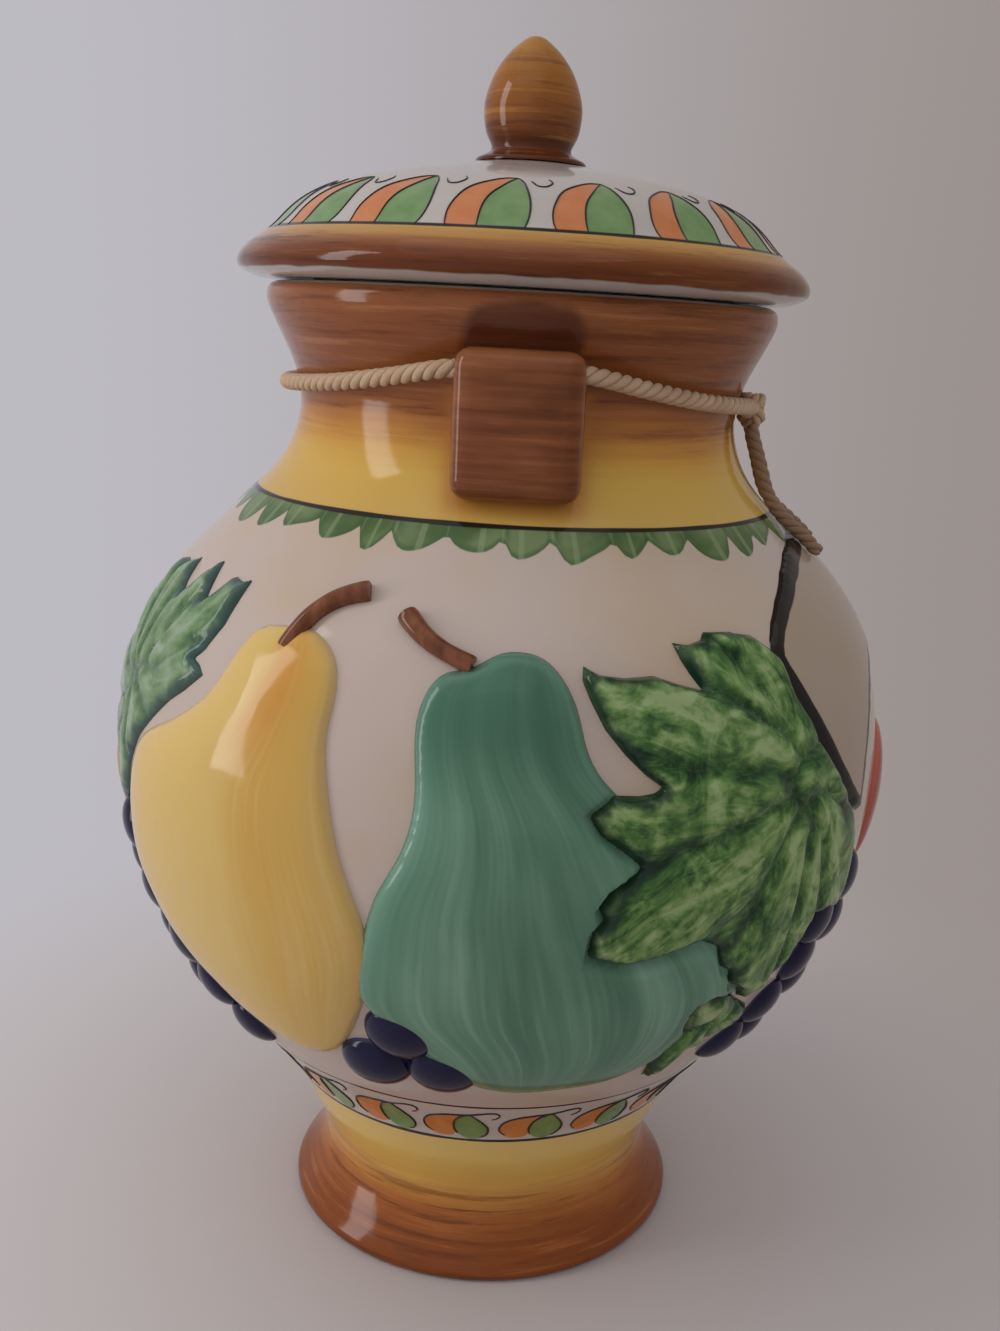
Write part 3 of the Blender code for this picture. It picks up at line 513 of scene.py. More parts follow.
above_foot = fade(height, FOOT_LINE - LINE_EDGE, FOOT_LINE + LINE_EDGE)
band = times(above_foot, fade(height, BAND_LINE + LINE_EDGE, BAND_LINE - LINE_EDGE))
colour = over(band, colour, (0.53, 0.45, 0.40))
above_neck_line = fade(height, NECK_LINE - LINE_EDGE / 2, NECK_LINE + LINE_EDGE / 2)
colour = over(above_neck_line, colour, neck_paint)
washes = speckle(place, (70, 70, 90), 3.0)
hem_depth = noted(ivory, "collar")
collar_green = over(fade(washes, 0.35, 0.65), (0.066, 0.116, 0.034), (0.155, 0.212, 0.088))
rim_green = times(fade(hem_depth, 1.5, 0.3), 0.75)
collar_green = over(rim_green, collar_green, (0.050, 0.110, 0.035))
across = noted(ivory, "leaf_share")
overlap = times(fade(across, 0.30, 0.0), fade(hem_depth, 0.4, 2.4))
overlap = reckon("MAXIMUM", overlap, times(fade(across, 0.86, 0.98), 0.8))
collar_green = over(times(overlap, 0.8), collar_green, (0.040, 0.090, 0.030))
vein = times(line(times(across, 9.0), 4.3, 0.5), 0.4)
collar_green = over(vein, collar_green, (0.26, 0.33, 0.17))
ragged = added(wander, 1.3, hem_depth)
in_collar = times(fade(ragged, -0.15, 0.2), fade(height, NECK_LINE + LINE_EDGE, NECK_LINE))
colour = over(in_collar, colour, collar_green)
dabs = speckle(place, (260, 260, 120), 2.0)
colour = filled_in(
    colour, dabs,
    orange=((0.52, 0.15, 0.035), (0.60, 0.25, 0.085)),
    green=((0.11, 0.20, 0.05), (0.24, 0.34, 0.14)),
)
pen = added(wander, 0.5, 0.40)
ink = line(height, BAND_LINE, pen)
thick = added(wander, 0.6, 0.58)
for level, half_width in ((FOOT_LINE, thick), (NECK_LINE, pen)):
    ink = reckon("MAXIMUM", ink, line(height, level, half_width))
colour = over(ink, colour, INK)
colour = over(noted(ivory, "inside"), colour, (0.54, 0.47, 0.40))
colour = over(noted(ivory, "bare"), colour, over(dabs, (0.58, 0.44, 0.31), (0.63, 0.51, 0.38)))
finish_paint(ivory, colour)
seat(jar, "jar_body", ivory)

# Pen strokes of the foot's band: the fine black outline and curl of each motif, drawn in enamel over
# the colours before glazing.
enamel = new_paint("black_pen_line", 0.15)
black = [(0, (0.014, 0.011, 0.010)), (1, (0.030, 0.024, 0.020))]
finish_paint(enamel, graded(speckle(place_on(enamel), (90, 90, 90)), 0, 1, black), 0.3)


def pick(piece):
    """Select one piece and no other."""
    bpy.ops.object.select_all(action="DESELECT")
    piece.select_set(True)
    bpy.context.view_layer.objects.active = piece


def pen_strokes(name, motif, start, count, place, thickness, body):
    """Fine strokes of paint round each motif, slightly raised threads that taper at their ends."""
    curve = bpy.data.curves.new(name, "CURVE")
    curve.dimensions = "3D"
    curve.bevel_depth = thickness * MM / 2
    curve.bevel_resolution = 1
    curve.use_fill_caps = True
    for turn in range(count):
        for stroke in motif:
            run = flowing(stroke, 26)
            spots = place(start + (turn + run[:, 0]) * 360 / count, run[:, 1])
            spline = curve.splines.new("POLY")
            spline.points.add(len(spots) - 1)
            for i, (point, spot) in enumerate(zip(spline.points, spots)):
                point.co = (*(spot * MM), 1)
                point.radius = 0.35 + 0.65 * math.sin(math.pi * (i + 0.3) / len(spots)) ** 0.5
    drawn = bpy.data.objects.new(name, curve)
    bpy.context.scene.collection.objects.link(drawn)
    pick(drawn)
    bpy.ops.object.convert(target="MESH")
    drawn.data.materials.clear()
    drawn.data.materials.append(enamel)
    bpy.ops.object.shade_smooth()
    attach(drawn, body)


pen_strokes(
    "foot_band_pen_lines", FOOT_PEN, FOOT_START, FOOT_MOTIFS,
    lambda turn, up: on_wall(turn, FOOT_LINE + up * (BAND_LINE - FOOT_LINE), 0.0), 0.7, "jar",
)

# Lugs: two solid square ears of clay, luted to the neck while leather-hard and pierced near the top
# for the cord. They are brushed with brown, which breaks lighter along their side edges where the
# glaze runs thin, and their tops are painted lighter as a painted highlight.
brown = new_paint("brushed_brown_glaze", 0.12)
place = place_on(brown)
grain = speckle(place, (60, 26, 520), 4.0, 0.62)
patch = speckle(place, (55, 55, 75), 2.0)
colour = graded(
    added(patch, 0.6, times(grain, 0.75)), 0.3, 1.0,
    [(0.30, (0.055, 0.014, 0.005)), (0.52, (0.110, 0.031, 0.011)), (0.68, (0.180, 0.054, 0.018)),
     (0.85, (0.255, 0.085, 0.030)), (1.0, (0.35, 0.135, 0.053))],
)
# Lighter along the front side edges, where the glaze runs thin, and along the top, a painted highlight.
colour = over(times(noted(brown, "thin_edges_and_top_highlight"), 0.55), colour, (0.33, 0.13, 0.055))
finish_paint(brown, colour, 0.7)

LUG_DEPTH = 16.2
LUG_WIDTH = 27.8
LUG_MIDDLE = 57.9
LUG_ROUNDING = 4.2
LUG_HOLE = (60.8, 14.0, 228.0)
HOLE_RADIUS = 2.9
LUG_BED = 3.5
CORE_BOTTOM = 198
CORE_TOP = 236
levels = np.linspace(CORE_BOTTOM, CORE_TOP, 20)
bedded = [(np.interp(h, side[:, 1], side[:, 0]) - LUG_BED, h) for h in levels]
core = thrown("neck_core", [(0, CORE_BOTTOM), *bedded, (0, CORE_TOP)], 96)
for hand, way in (("left", -1), ("right", 1)):
    low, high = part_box(f"lug_{hand}")
    bpy.ops.object.select_all(action="DESELECT")
    bpy.ops.mesh.primitive_cube_add(size=1)
    ear = bpy.context.active_object
    ear.name = f"cord_lug_{hand}"
    bpy.ops.object.mode_set(mode="EDIT")
    bpy.ops.transform.resize(value=(LUG_DEPTH * MM, LUG_WIDTH * MM, high[2] - low[2]))
    bpy.ops.transform.translate(value=(way * LUG_MIDDLE * MM, 0, (low[2] + high[2]) / 2))
    bpy.ops.mesh.bevel(offset=LUG_ROUNDING * MM, segments=6, profile=0.52, affect="EDGES")
    bpy.ops.object.mode_set(mode="OBJECT")
    bpy.ops.mesh.primitive_cylinder_add(
        vertices=32, radius=HOLE_RADIUS * MM, depth=0.06, rotation=(math.pi / 2, 0, 0),
        location=(way * LUG_HOLE[0] * MM, 0, LUG_HOLE[2] * MM),
    )
    drill = bpy.context.active_object
    for step, cutter in (("pierce", drill), ("bed", core)):
        cut = ear.modifiers.new(step, "BOOLEAN")
        cut.object = cutter
        cut.solver = "EXACT"
    soften = ear.modifiers.new("soften", "BEVEL")
    soften.width = 0.0005
    soften.segments = 2
    soften.limit_method = "ANGLE"
    soften.angle_limit = math.radians(60)
    pick(ear)
    for step in ("pierce", "bed", "soften"):
        bpy.ops.object.modifier_apply(modifier=step)
    bpy.data.objects.remove(drill)
    bpy.ops.object.shade_smooth()
    bpy.ops.object.shade_smooth_by_angle(angle=math.radians(40))
    spots = points_of(ear)
    sides = np.clip((np.abs(spots[:, 1]) - 12.6) / 0.9, 0, 1)
    # The top of the lug is painted lighter: a painted highlight.
    top_highlight = np.clip((spots[:, 2] - 228.5) / 2.5, 0, 1) * 0.6
    note(ear, "thin_edges_and_top_highlight", np.maximum(sides, top_highlight) * np.clip((np.abs(spots[:, 0]) - 61) / 3, 0, 1))
    seat(ear, f"lug_{hand}", brown)
bpy.data.objects.remove(core)


# Moulded fruit and leaves: thin sprigs of clay pressed in a mould and luted to the body, so they keep
# a crisp edge. Each is drawn flat, in degrees round the jar and millimetres up, and laid round it.
SPRIG_EDGE = 0.15
SPRIG_BACK = -0.5


def flat(outline):
    """Drawn points as millimetres across the belly and up."""
    return np.array([(math.radians(a) * BELLY, h) for a, h in outline])


def walked(outline, step):
    """Points a fixed step apart along a closed outline."""
    closed = np.vstack([outline, outline[:1]])
    along = np.concatenate([[0], np.cumsum(np.linalg.norm(np.diff(closed, axis=0), axis=1))])
    read = np.linspace(0, along[-1], int(along[-1] / step), endpoint=False)
    return np.stack([np.interp(read, along, closed[:, i]) for i in (0, 1)], axis=1)


def built(name, points, faces, crease=None):
    """A smooth piece from points in metres and faces, creased where it turns by more than an angle."""
    mesh = bpy.data.meshes.new(name)
    mesh.from_pydata(np.array(points).tolist(), [], faces)
    piece = bpy.data.objects.new(name, mesh)
    bpy.context.scene.collection.objects.link(piece)
    pick(piece)
    bpy.ops.object.mode_set(mode="EDIT")
    bpy.ops.mesh.select_all(action="SELECT")
    bpy.ops.mesh.normals_make_consistent(inside=False)
    bpy.ops.object.mode_set(mode="OBJECT")
    bpy.ops.object.shade_smooth()
    if crease:
        bpy.ops.object.shade_smooth_by_angle(angle=math.radians(crease))
    return piece


def lay_out(piece, name, places):
    """Write a flat place for every point of a piece, for its paint to read."""
    sheet = piece.data.uv_layers.new(name=name)
    corners = np.empty(len(piece.data.loops), int)
    piece.data.loops.foreach_get("vertex_index", corners)
    sheet.data.foreach_set("uv", np.array(places)[corners].ravel())


def sprig(name, outline, raised, grain=1.1):
    """A sprig: its outline filled with fine triangles, raised, backed, and bent round the wall."""
    rim = walked(outline, grain * 0.8)
    low, high = rim.min(axis=0), rim.max(axis=0)
    rows = np.arange(low[1] + grain / 2, high[1], grain * 0.866)
    lattice = [
        (u, v)
        for i, v in enumerate(rows)
        for u in np.arange(low[0] + (i % 2) * grain / 2, high[0], grain)
    ]
    lattice = np.array(lattice)
    lattice = lattice[depth_in(lattice, rim) > grain * 0.5]
    drawn = [Vector(p) for p in np.vstack([rim, lattice])]
    made = geometry.delaunay_2d_cdt(drawn, [], [list(range(len(rim)))], 1, 1e-5)
    spots = np.array([tuple(p) for p in made[0]])
    faces = np.array(made[2])
    depth = np.maximum(depth_in(spots, rim), 0)
    angles = np.degrees(spots[:, 0] / BELLY)
    front = on_wall(angles, spots[:, 1], raised(spots, depth))
    back = on_wall(angles, spots[:, 1], SPRIG_BACK)
    count = len(spots)
    edges = {}
    for a, b, c in faces:
        for edge in ((a, b), (b, c), (c, a)):
            edges[edge] = True
    walls = [(b, a, a + count, b + count) for a, b in edges if (b, a) not in edges]
    all_faces = [tuple(f) for f in faces] + [tuple(f[::-1] + count) for f in faces] + walls
    piece = built(name, np.vstack([front, back]) * MM, all_faces, 62)
    note(piece, "rim", np.concatenate([depth, depth * 0]))
    lay_out(piece, "drawn", np.vstack([spots, spots]) / 100)
    return piece, spots


def twin(piece, name):
    """The same sprig from the same mould on the other half of the jar, seen in a mirror."""
    other = piece.copy()
    other.data = piece.data.copy()
    other.name = name
    bpy.context.scene.collection.objects.link(other)
    pick(other)
    bpy.ops.object.mode_set(mode="EDIT")
    bpy.ops.mesh.select_all(action="SELECT")
    bpy.ops.transform.resize(value=(-1, 1, 1), center_override=(0, 0, 0))
    bpy.ops.mesh.normals_make_consistent(inside=False)
    bpy.ops.object.mode_set(mode="OBJECT")
    return other


def seat_pair(piece, stem, paint):
    """The sprig and its mirrored twin, one on each half of the jar."""
    piece.name = f"moulded_{stem}_left"
    other = twin(piece, f"moulded_{stem}_right")
    seat(piece, f"{stem}_left", paint)
    seat(other, f"{stem}_right", paint)


def pillow(depth, relief, width):
    """Height of a plump form at a depth in from its edge."""
    share = np.clip(depth / width, 0, 1)
    return relief * np.sqrt(1 - (1 - share) ** 2)


def clear_of(spots, outline, gap=1.6):
    """0 where another sprig lies over this one, 1 clear of it."""
    return np.clip(-depth_in(spots, outline) / gap, 0, 1)


def note_across(piece, spots, outline):
    """Write how far across the fruit each point lies, from -1 at its left edge to 1 at its right."""
    levels = np.linspace(outline[:, 1].min() + 0.4, outline[:, 1].max() - 0.4, 60)
    left, right = [], []
    for level in levels:
        cuts = []
        for a, b in zip(outline, np.roll(outline, -1, axis=0)):
            if (a[1] - level) * (b[1] - level) < 0:
                cuts.append(a[0] + (level - a[1]) / (b[1] - a[1]) * (b[0] - a[0]))
        left.append(min(cuts))
        right.append(max(cuts))
    start = np.interp(spots[:, 1], levels, left)
    end = np.interp(spots[:, 1], levels, right)
    across = 2 * (spots[:, 0] - start) / np.maximum(end - start, 1) - 1
    note(piece, "across", np.concatenate([across, across]))


def drawn_places(paint):
    """Where a point lies on its sprig as drawn: across the fruit, and up in decimetres."""
    drawn = add(paint, "UVMap", {}, uv_map="drawn")
    return noted(paint, "across"), add(paint, "SeparateXYZ", {0: drawn}, 1)


def brush_marks(across, up, wide, detail=2.0):
    """Soft brush marks that run with a fruit's own shape, this many across its half width."""
    marks = add(across, "CombineXYZ", {0: across, 1: up, 2: 0.0})
    return speckle(marks, (wide, 1.5, 1.0), detail, 0.5)


TEAL_PEAR = (
    (-4.7, 171.2), (-0.9, 174.0), (1.8, 174.5), (5.1, 173.3), (7.7, 169.4), (9.3, 164.0),
    (10.4, 156.9), (12.4, 151.0), (15.2, 146.3), (20.5, 136), (28, 122), (35, 108), (38.5, 96),
    (36.6, 88.5), (32.3, 81.4), (26.4, 75.9), (20.2, 71.7), (13.1, 70.4), (6.1, 69.6), (0.8, 70.6),
    (-3.5, 73.5), (-9.0, 81.5), (-14.4, 90.5), (-17.7, 97), (-17.9, 104), (-16.6, 112.9),
    (-14.6, 124), (-12.1, 132.2), (-10.4, 141.0), (-10.2, 149.5), (-10.7, 158), (-10.2, 165.0),
    (-8.2, 169.6),
)
GOLD_PEAR = (
    (-33, 174.5), (-36.8, 173.1), (-39.1, 168.2), (-40.9, 161.5), (-44.8, 154.9), (-51.5, 148.6),
    (-57.7, 142.8), (-61.5, 133), (-63.8, 121.2), (-64.3, 110.5), (-61.6, 101.2), (-57.3, 92.4),
    (-50.7, 85.2), (-43.5, 79.4), (-36.2, 74.7), (-30.5, 73.9), (-25.4, 77.0), (-20.5, 86),
    (-17.3, 97), (-15.7, 106.8), (-16.4, 117), (-18.6, 127.5), (-20.2, 137), (-21.4, 147),
    (-22.1, 157), (-21.9, 164.6), (-23.2, 170.2), (-25.8, 173.4), (-29.2, 174.9),
)
VINE_LEAF = (
    (23.7, 176.1), (26, 175.6), (28.5, 176.3), (29.3, 177.7), (33.5, 177.4), (37.1, 176.4),
    (39.3, 174.2), (41.5, 171.6), (42.5, 164.8), (44.7, 159.2), (47.4, 152), (51.2, 144),
    (56.2, 136), (57.8, 130.3), (58, 122.6), (58, 117), (57.7, 107.9), (53, 110.5), (48.8, 109),
    (47.3, 102.9), (45.4, 98.1), (44.2, 92.8), (42.5, 94.5), (39.7, 92.3), (38.3, 96), (35.2, 99.2),
    (34.5, 102.5), (32.5, 104.7), (30.7, 110.8), (27.9, 113), (23.5, 111.7), (20.7, 110.6),
    (16.6, 110.2), (13.8, 111.6), (11.9, 112.6), (12.0, 116), (12.2, 118.7), (13.4, 121.3),
    (12.6, 124.1), (14.0, 127.8), (15.8, 129.9), (17.6, 132.3), (16.9, 133.8), (14.8, 136.6),
    (12.2, 139.9), (10.7, 144.1), (12.7, 146.4), (13.6, 148), (17.1, 147.6), (19.1, 148),
    (20, 149.1), (17.8, 151.7), (15.2, 155.8), (12.7, 160.7), (10.9, 166.2), (10.0, 169.8),
    (10.2, 172.3), (12.4, 170.7), (15.8, 170.1), (19.8, 170.4), (23.6, 168.5), (26.8, 167.2),
    (25.4, 170.2), (24.4, 173.0),
)
SMALL_LEAF = (
    (29.3, 69.3), (31.7, 73.1), (33.2, 79.1), (36.9, 80.6), (40.4, 83.1), (44.9, 86.6), (41, 90.5),
    (36.3, 95.6), (32.1, 96.7), (29.7, 95.7), (29.3, 92.8), (30.3, 87.4), (28.8, 83.1), (28.1, 76.8),
)
BACK_LEAF = (
    (-48.1, 180.8), (-46.0, 180.2), (-44.1, 181), (-44.1, 177), (-44.3, 171.8), (-46.2, 166.1),
    (-47.8, 163.9), (-46.1, 163), (-44.7, 161.3), (-47.9, 157), (-51.1, 153.6), (-54.8, 148.7),
    (-59.9, 141.8), (-64.4, 133.4), (-69, 123.2), (-73, 117), (-74, 121), (-75, 127), (-80, 132),
    (-79.5, 136), (-77, 142), (-80, 145.5), (-83, 150), (-81, 154.5), (-78, 158), (-80.5, 163),
    (-81, 169), (-77, 169.8), (-73, 172), (-72, 177), (-71, 180), (-67, 179.6), (-64.1, 181.5),
    (-62, 176.5), (-60, 174), (-57.5, 179), (-55, 182.8), (-53.4, 179), (-52, 175), (-50, 177.5),
)
teal_outline = rounded_loop(flat(TEAL_PEAR), 220)
gold_outline = rounded_loop(flat(GOLD_PEAR), 220)
vine_outline = flat(VINE_LEAF)
small_outline = flat(SMALL_LEAF)
back_outline = flat(BACK_LEAF)

# Gold pear: a plump sprig of clay on each half of the jar, brushed down its length in ochre, with an
# orange blush under the stem and paler edges.
gold = new_paint("gold_pear_glaze")
across, up = drawn_places(gold)
marks = brush_marks(across, up, 2.6)
hairs = brush_marks(across, up, 16, 4.0)
bent = added(reckon("SUBTRACT", marks, 0.5), 0.5, across)
colour = graded(
    bent, -1.0, 1.0,
    [(-1.0, (0.66, 0.47, 0.25)), (-0.82, (0.65, 0.43, 0.15)), (-0.45, (0.65, 0.44, 0.14)),
     (-0.10, (0.63, 0.43, 0.135)), (0.14, (0.62, 0.415, 0.130)), (0.32, (0.58, 0.360, 0.090)),
     (0.48, (0.56, 0.325, 0.070)), (0.75, (0.57, 0.345, 0.083)), (1.0, (0.57, 0.365, 0.115))],
)
pale = times(fade(hairs, 0.48, 0.70), 0.45)
colour = over(pale, colour, (0.62, 0.43, 0.17))
low_wash = times(fade(up, 1.06, 0.76), 0.65)
colour = over(low_wash, colour, (0.66, 0.43, 0.13))
off_blush = reckon("ABSOLUTE", reckon("SUBTRACT", bent, 0.22))
blush = times(fade(off_blush, 0.55, 0.05), fade(up, 1.40, 1.62))
blush = times(blush, fade(up, 1.76, 1.68))
colour = over(times(blush, 0.7), colour, (0.56, 0.22, 0.028))
edge = times(fade(noted(gold, "rim"), 1.6, 0.1), 0.6)
colour = over(edge, colour, (0.58, 0.42, 0.23))
finish_paint(gold, colour)
piece, spots = sprig(
    "gold_pear", gold_outline,
    lambda spots, depth: pillow(depth, 3.4, 17) * clear_of(spots, back_outline) + SPRIG_EDGE,
)
note_across(piece, spots, gold_outline)
seat_pair(piece, "gold_pear", gold)

# Teal pear: a sprig from a mould of its own, luted on beside the first. It is brushed in blue-green,
# thinner and lighter towards its rim, where the brush turned.
teal = new_paint("teal_pear_glaze")
across, up = drawn_places(teal)
marks = brush_marks(across, up, 4.5, 3.0)
hairs = brush_marks(across, up, 22, 4.0)
clouds = speckle(place_on(teal), (34, 34, 34), 2.0)
shade = added(hairs, 0.22, times(marks, 0.62))
shade = added(clouds, 0.25, shade)
colour = graded(
    shade, 0.34, 0.76,
    [(0.34, (0.060, 0.138, 0.084)), (0.46, (0.088, 0.188, 0.119)), (0.56, (0.120, 0.236, 0.154)),
     (0.66, (0.162, 0.292, 0.200)), (0.76, (0.215, 0.355, 0.258))],
)
streaks = times(fade(hairs, 0.56, 0.68), fade(up, 1.18, 0.92))
colour = over(times(streaks, 0.30), colour, (0.22, 0.36, 0.27))
low_wash = times(fade(up, 0.90, 0.74), 0.35)
colour = over(low_wash, colour, (0.115, 0.235, 0.150))
# The pear's left side, towards the window, is painted lighter: a painted highlight.
left_side_painted_light = times(fade(across, -0.60, -1.0), 0.40)
colour = over(left_side_painted_light, colour, (0.145, 0.290, 0.205))
top_dark = times(fade(up, 1.42, 1.62), fade(across, 1.1, 0.6))
colour = over(times(top_dark, 0.8), colour, (0.048, 0.128, 0.078))
pale_rim = times(fade(noted(teal, "rim"), 3.4, 1.4), 0.35)
colour = over(pale_rim, colour, (0.16, 0.30, 0.22))
edge = times(fade(noted(teal, "rim"), 0.9, 0.1), 0.5)
colour = over(edge, colour, (0.05, 0.13, 0.09))
finish_paint(teal, colour)
piece, spots = sprig(
    "teal_pear", teal_outline,
    lambda spots, depth: pillow(depth, 3.4, 15)
    * clear_of(spots, vine_outline) * clear_of(spots, small_outline) + SPRIG_EDGE,
)
note_across(piece, spots, teal_outline)
seat_pair(piece, "teal_pear", teal)

# Leaves: each lobe swells round its own vein, with a valley where two lobes meet. The glazes are
# dabbed on wet over one another, yellow-green over bottle green, and drawn out dark at the edges.
def leaf_glaze(name, stops, rim_colour, swirl):
    """Greens that run along the lobes and swirl in the leaf's middle."""
    paint = new_paint(name, 0.14)
    stretches = (("along", 0.075), ("off_vein", 0.22), ("lobe", 3.1))
    ways = {i: times(noted(paint, name), stretch) for i, (name, stretch) in enumerate(stretches)}
    surface = place_on(paint)
    wisps, dabs, flecks = (
        add(place, "TexNoise", {
            "Vector": place, "Scale": scale, "Detail": 4.0, "Roughness": rough, "Distortion": twist,
        })
        for place, scale, rough, twist in (
            (add(paint, "CombineXYZ", ways), 1.0, 0.62, swirl), (surface, 75.0, 0.6, 1.6),
            (surface, 190.0, 0.6, 1.6),
        )
    )
    tone = added(noted(paint, "crown"), 0.30, times(wisps, 0.55))
    tone = added(dabs, 0.75, tone)
    tone = added(flecks, 0.25, tone)
    colour = graded(tone, stops[0][0], stops[-1][0], stops)
    inward = added(reckon("SUBTRACT", dabs, 0.5), 5.0, noted(paint, "rim"))
    dark = times(fade(inward, 3.0, 0.6), 0.85)
    colour = over(dark, colour, rim_colour)
    finish_paint(paint, colour, 1.1)
    return paint


vine_glaze = leaf_glaze(
    "green_leaf_glaze",
    [(0.74, (0.010, 0.028, 0.012)), (0.84, (0.026, 0.072, 0.023)), (0.92, (0.056, 0.130, 0.036)),
     (0.99, (0.105, 0.200, 0.056)), (1.07, (0.190, 0.290, 0.100)), (1.16, (0.290, 0.380, 0.170))],
    (0.010, 0.032, 0.018), 1.8,
)
back_glaze = leaf_glaze(
    "pale_leaf_glaze",
    [(0.66, (0.022, 0.058, 0.032)), (0.80, (0.055, 0.118, 0.052)), (0.91, (0.102, 0.180, 0.075)),
     (1.02, (0.162, 0.250, 0.118)), (1.14, (0.24, 0.32, 0.19)), (1.26, (0.31, 0.37, 0.29))],
    (0.042, 0.082, 0.085), 0.8,
)


def leaf(name, outline, veins, relief, lift, glaze):
    """A leaf sprig and its twin, lobes swelling round their veins, each (root, tip, half width)."""
    lines = [(flat([a])[0], flat([b])[0], w) for a, b, w in veins]

    def lobes(spots):
        """For each point, its lobe, its share from vein to valley, and its place along and off it."""
        shares, alongs, offs = [], [], []
        for root, tip, width in lines:
            way = (tip - root) / np.linalg.norm(tip - root)
            to = spots - root
            run = to @ way
            gap = to - np.clip(run, 0, np.linalg.norm(tip - root))[:, None] * way
            shares.append(np.hypot(*gap.T) / width)
            alongs.append(run)
            offs.append(to @ np.array([-way[1], way[0]]))
        shares = np.array(shares)
        lobe = shares.argmin(axis=0)
        ordered = np.sort(shares, axis=0)
        column = np.arange(len(spots))
        valley = np.clip((ordered[1] - ordered[0]) / 0.55, 0, 1)
        along, off = np.array(alongs)[lobe, column], np.array(offs)[lobe, column]
        return lobe, ordered[0], valley, along, off

    def raised(spots, depth):
        share, valley, run, off = lobes(spots)[1:]
        swell = np.sqrt(np.clip(1 - np.clip(share, 0, 1) ** 2, 0, 1)) * valley**0.5
        vein = np.exp(-((off / 0.9) ** 2)) * np.clip(run / 6, 0, 1)
        edge = np.clip(depth / 2.4, 0, 1) ** 0.5
        return edge * (lift + relief * swell - 0.45 * vein) + SPRIG_EDGE

    piece, spots = sprig(name, outline, raised, 1.0)
    lobe, share, valley, run, off = lobes(spots)
    crown = (1 - np.clip(share, 0, 1)) * 0.55 + valley * 0.45
    for field, values in (("crown", crown), ("along", run), ("off_vein", off), ("lobe", lobe)):
        note(piece, field, np.concatenate([values, values]))
    seat_pair(piece, name, glaze)


leaf(
    "vine_leaf", vine_outline,
    (((38, 153), (10.8, 170.5), 13), ((40, 158), (25.5, 175.5), 8), ((41, 156), (33, 177), 10),
     ((36, 146), (11.2, 144), 11), ((37, 138), (12.6, 113.2), 12), ((41, 134), (40.5, 93.5), 10),
     ((45, 132), (46.5, 99), 8), ((46, 140), (57, 110), 11), ((43, 146), (50, 143), 10)),
    1.7, 1.5, vine_glaze,
)
leaf(
    "small_leaf", small_outline,
    (((36, 89), (29.2, 70.5), 5), ((37, 88), (31.2, 95.5), 6), ((36, 86), (44, 87), 5)), 1.6, 1.2,
    vine_glaze,
)
leaf(
    "back_leaf", back_outline,
    (((-62, 160), (-55, 182), 7), ((-58, 160), (-45.5, 179.5), 8), ((-60, 155), (-45.6, 162), 8),
     ((-66, 160), (-64.5, 181), 7), ((-68, 158), (-72, 179), 8), ((-68, 150), (-81, 151), 9),
     ((-68, 146), (-78.5, 133), 8), ((-66, 148), (-73, 118.5), 9), ((-62, 150), (-62, 140), 9)),
    1.1, 0.7, back_glaze,
)

# Sign: a thin moulded banner with curled ends, laid on the shoulder under the front of the collar. It
# is left cream inside a black brushed border, and nothing is written on it.
SIGN_HALF = (
    (90, 166), (82, 165.2), (75, 163.2), (70, 160), (66.4, 155.9), (63.4, 149.5), (61.6, 143.4),
    (60.8, 137), (60.5, 131.5), (57.5, 133.6), (54, 138.5), (50, 146), (46.3, 154.1), (44, 159.8),
    (42.1, 165.7), (41, 169), (40.7, 172), (41.6, 175), (43.6, 178), (47.5, 181.6), (54.7, 186.2),
    (62, 189.3), (71, 191.4), (81, 192.4), (90, 192.7),
)


def across_front(half):
    """Half an outline and its reflection in the jar's front, as one closed outline."""
    return list(half) + [(180 - a, h) for a, h in half[-2:0:-1]]


sign_outline = flat(across_front(SIGN_HALF))
other_vine = flat([(180 - a, h) for a, h in VINE_LEAF])[::-1]
panel = new_paint("cream_sign_glaze")
rim = noted(panel, "rim")
wash = speckle(place_on(panel), (30, 30, 30), 3.0)
colour = over(wash, (0.375, 0.295, 0.24), (0.345, 0.255, 0.175))
sweep = speckle(place_on(panel), (55, 55, 55), 2.0)
wobble = added(reckon("SUBTRACT", sweep, 0.5), 0.8, rim)
border = fade(wobble, 3.4, 3.0)
colour = over(border, colour, (0.020, 0.016, 0.014))
finish_paint(panel, colour)
piece, spots = sprig(
    "moulded_sign", sign_outline,
    lambda spots, depth: 1.25 * np.clip(depth / 1.6, 0, 1) ** 0.5
    * clear_of(spots, vine_outline) * clear_of(spots, other_vine) + SPRIG_EDGE,
)
seat(piece, "sign_panel", panel)

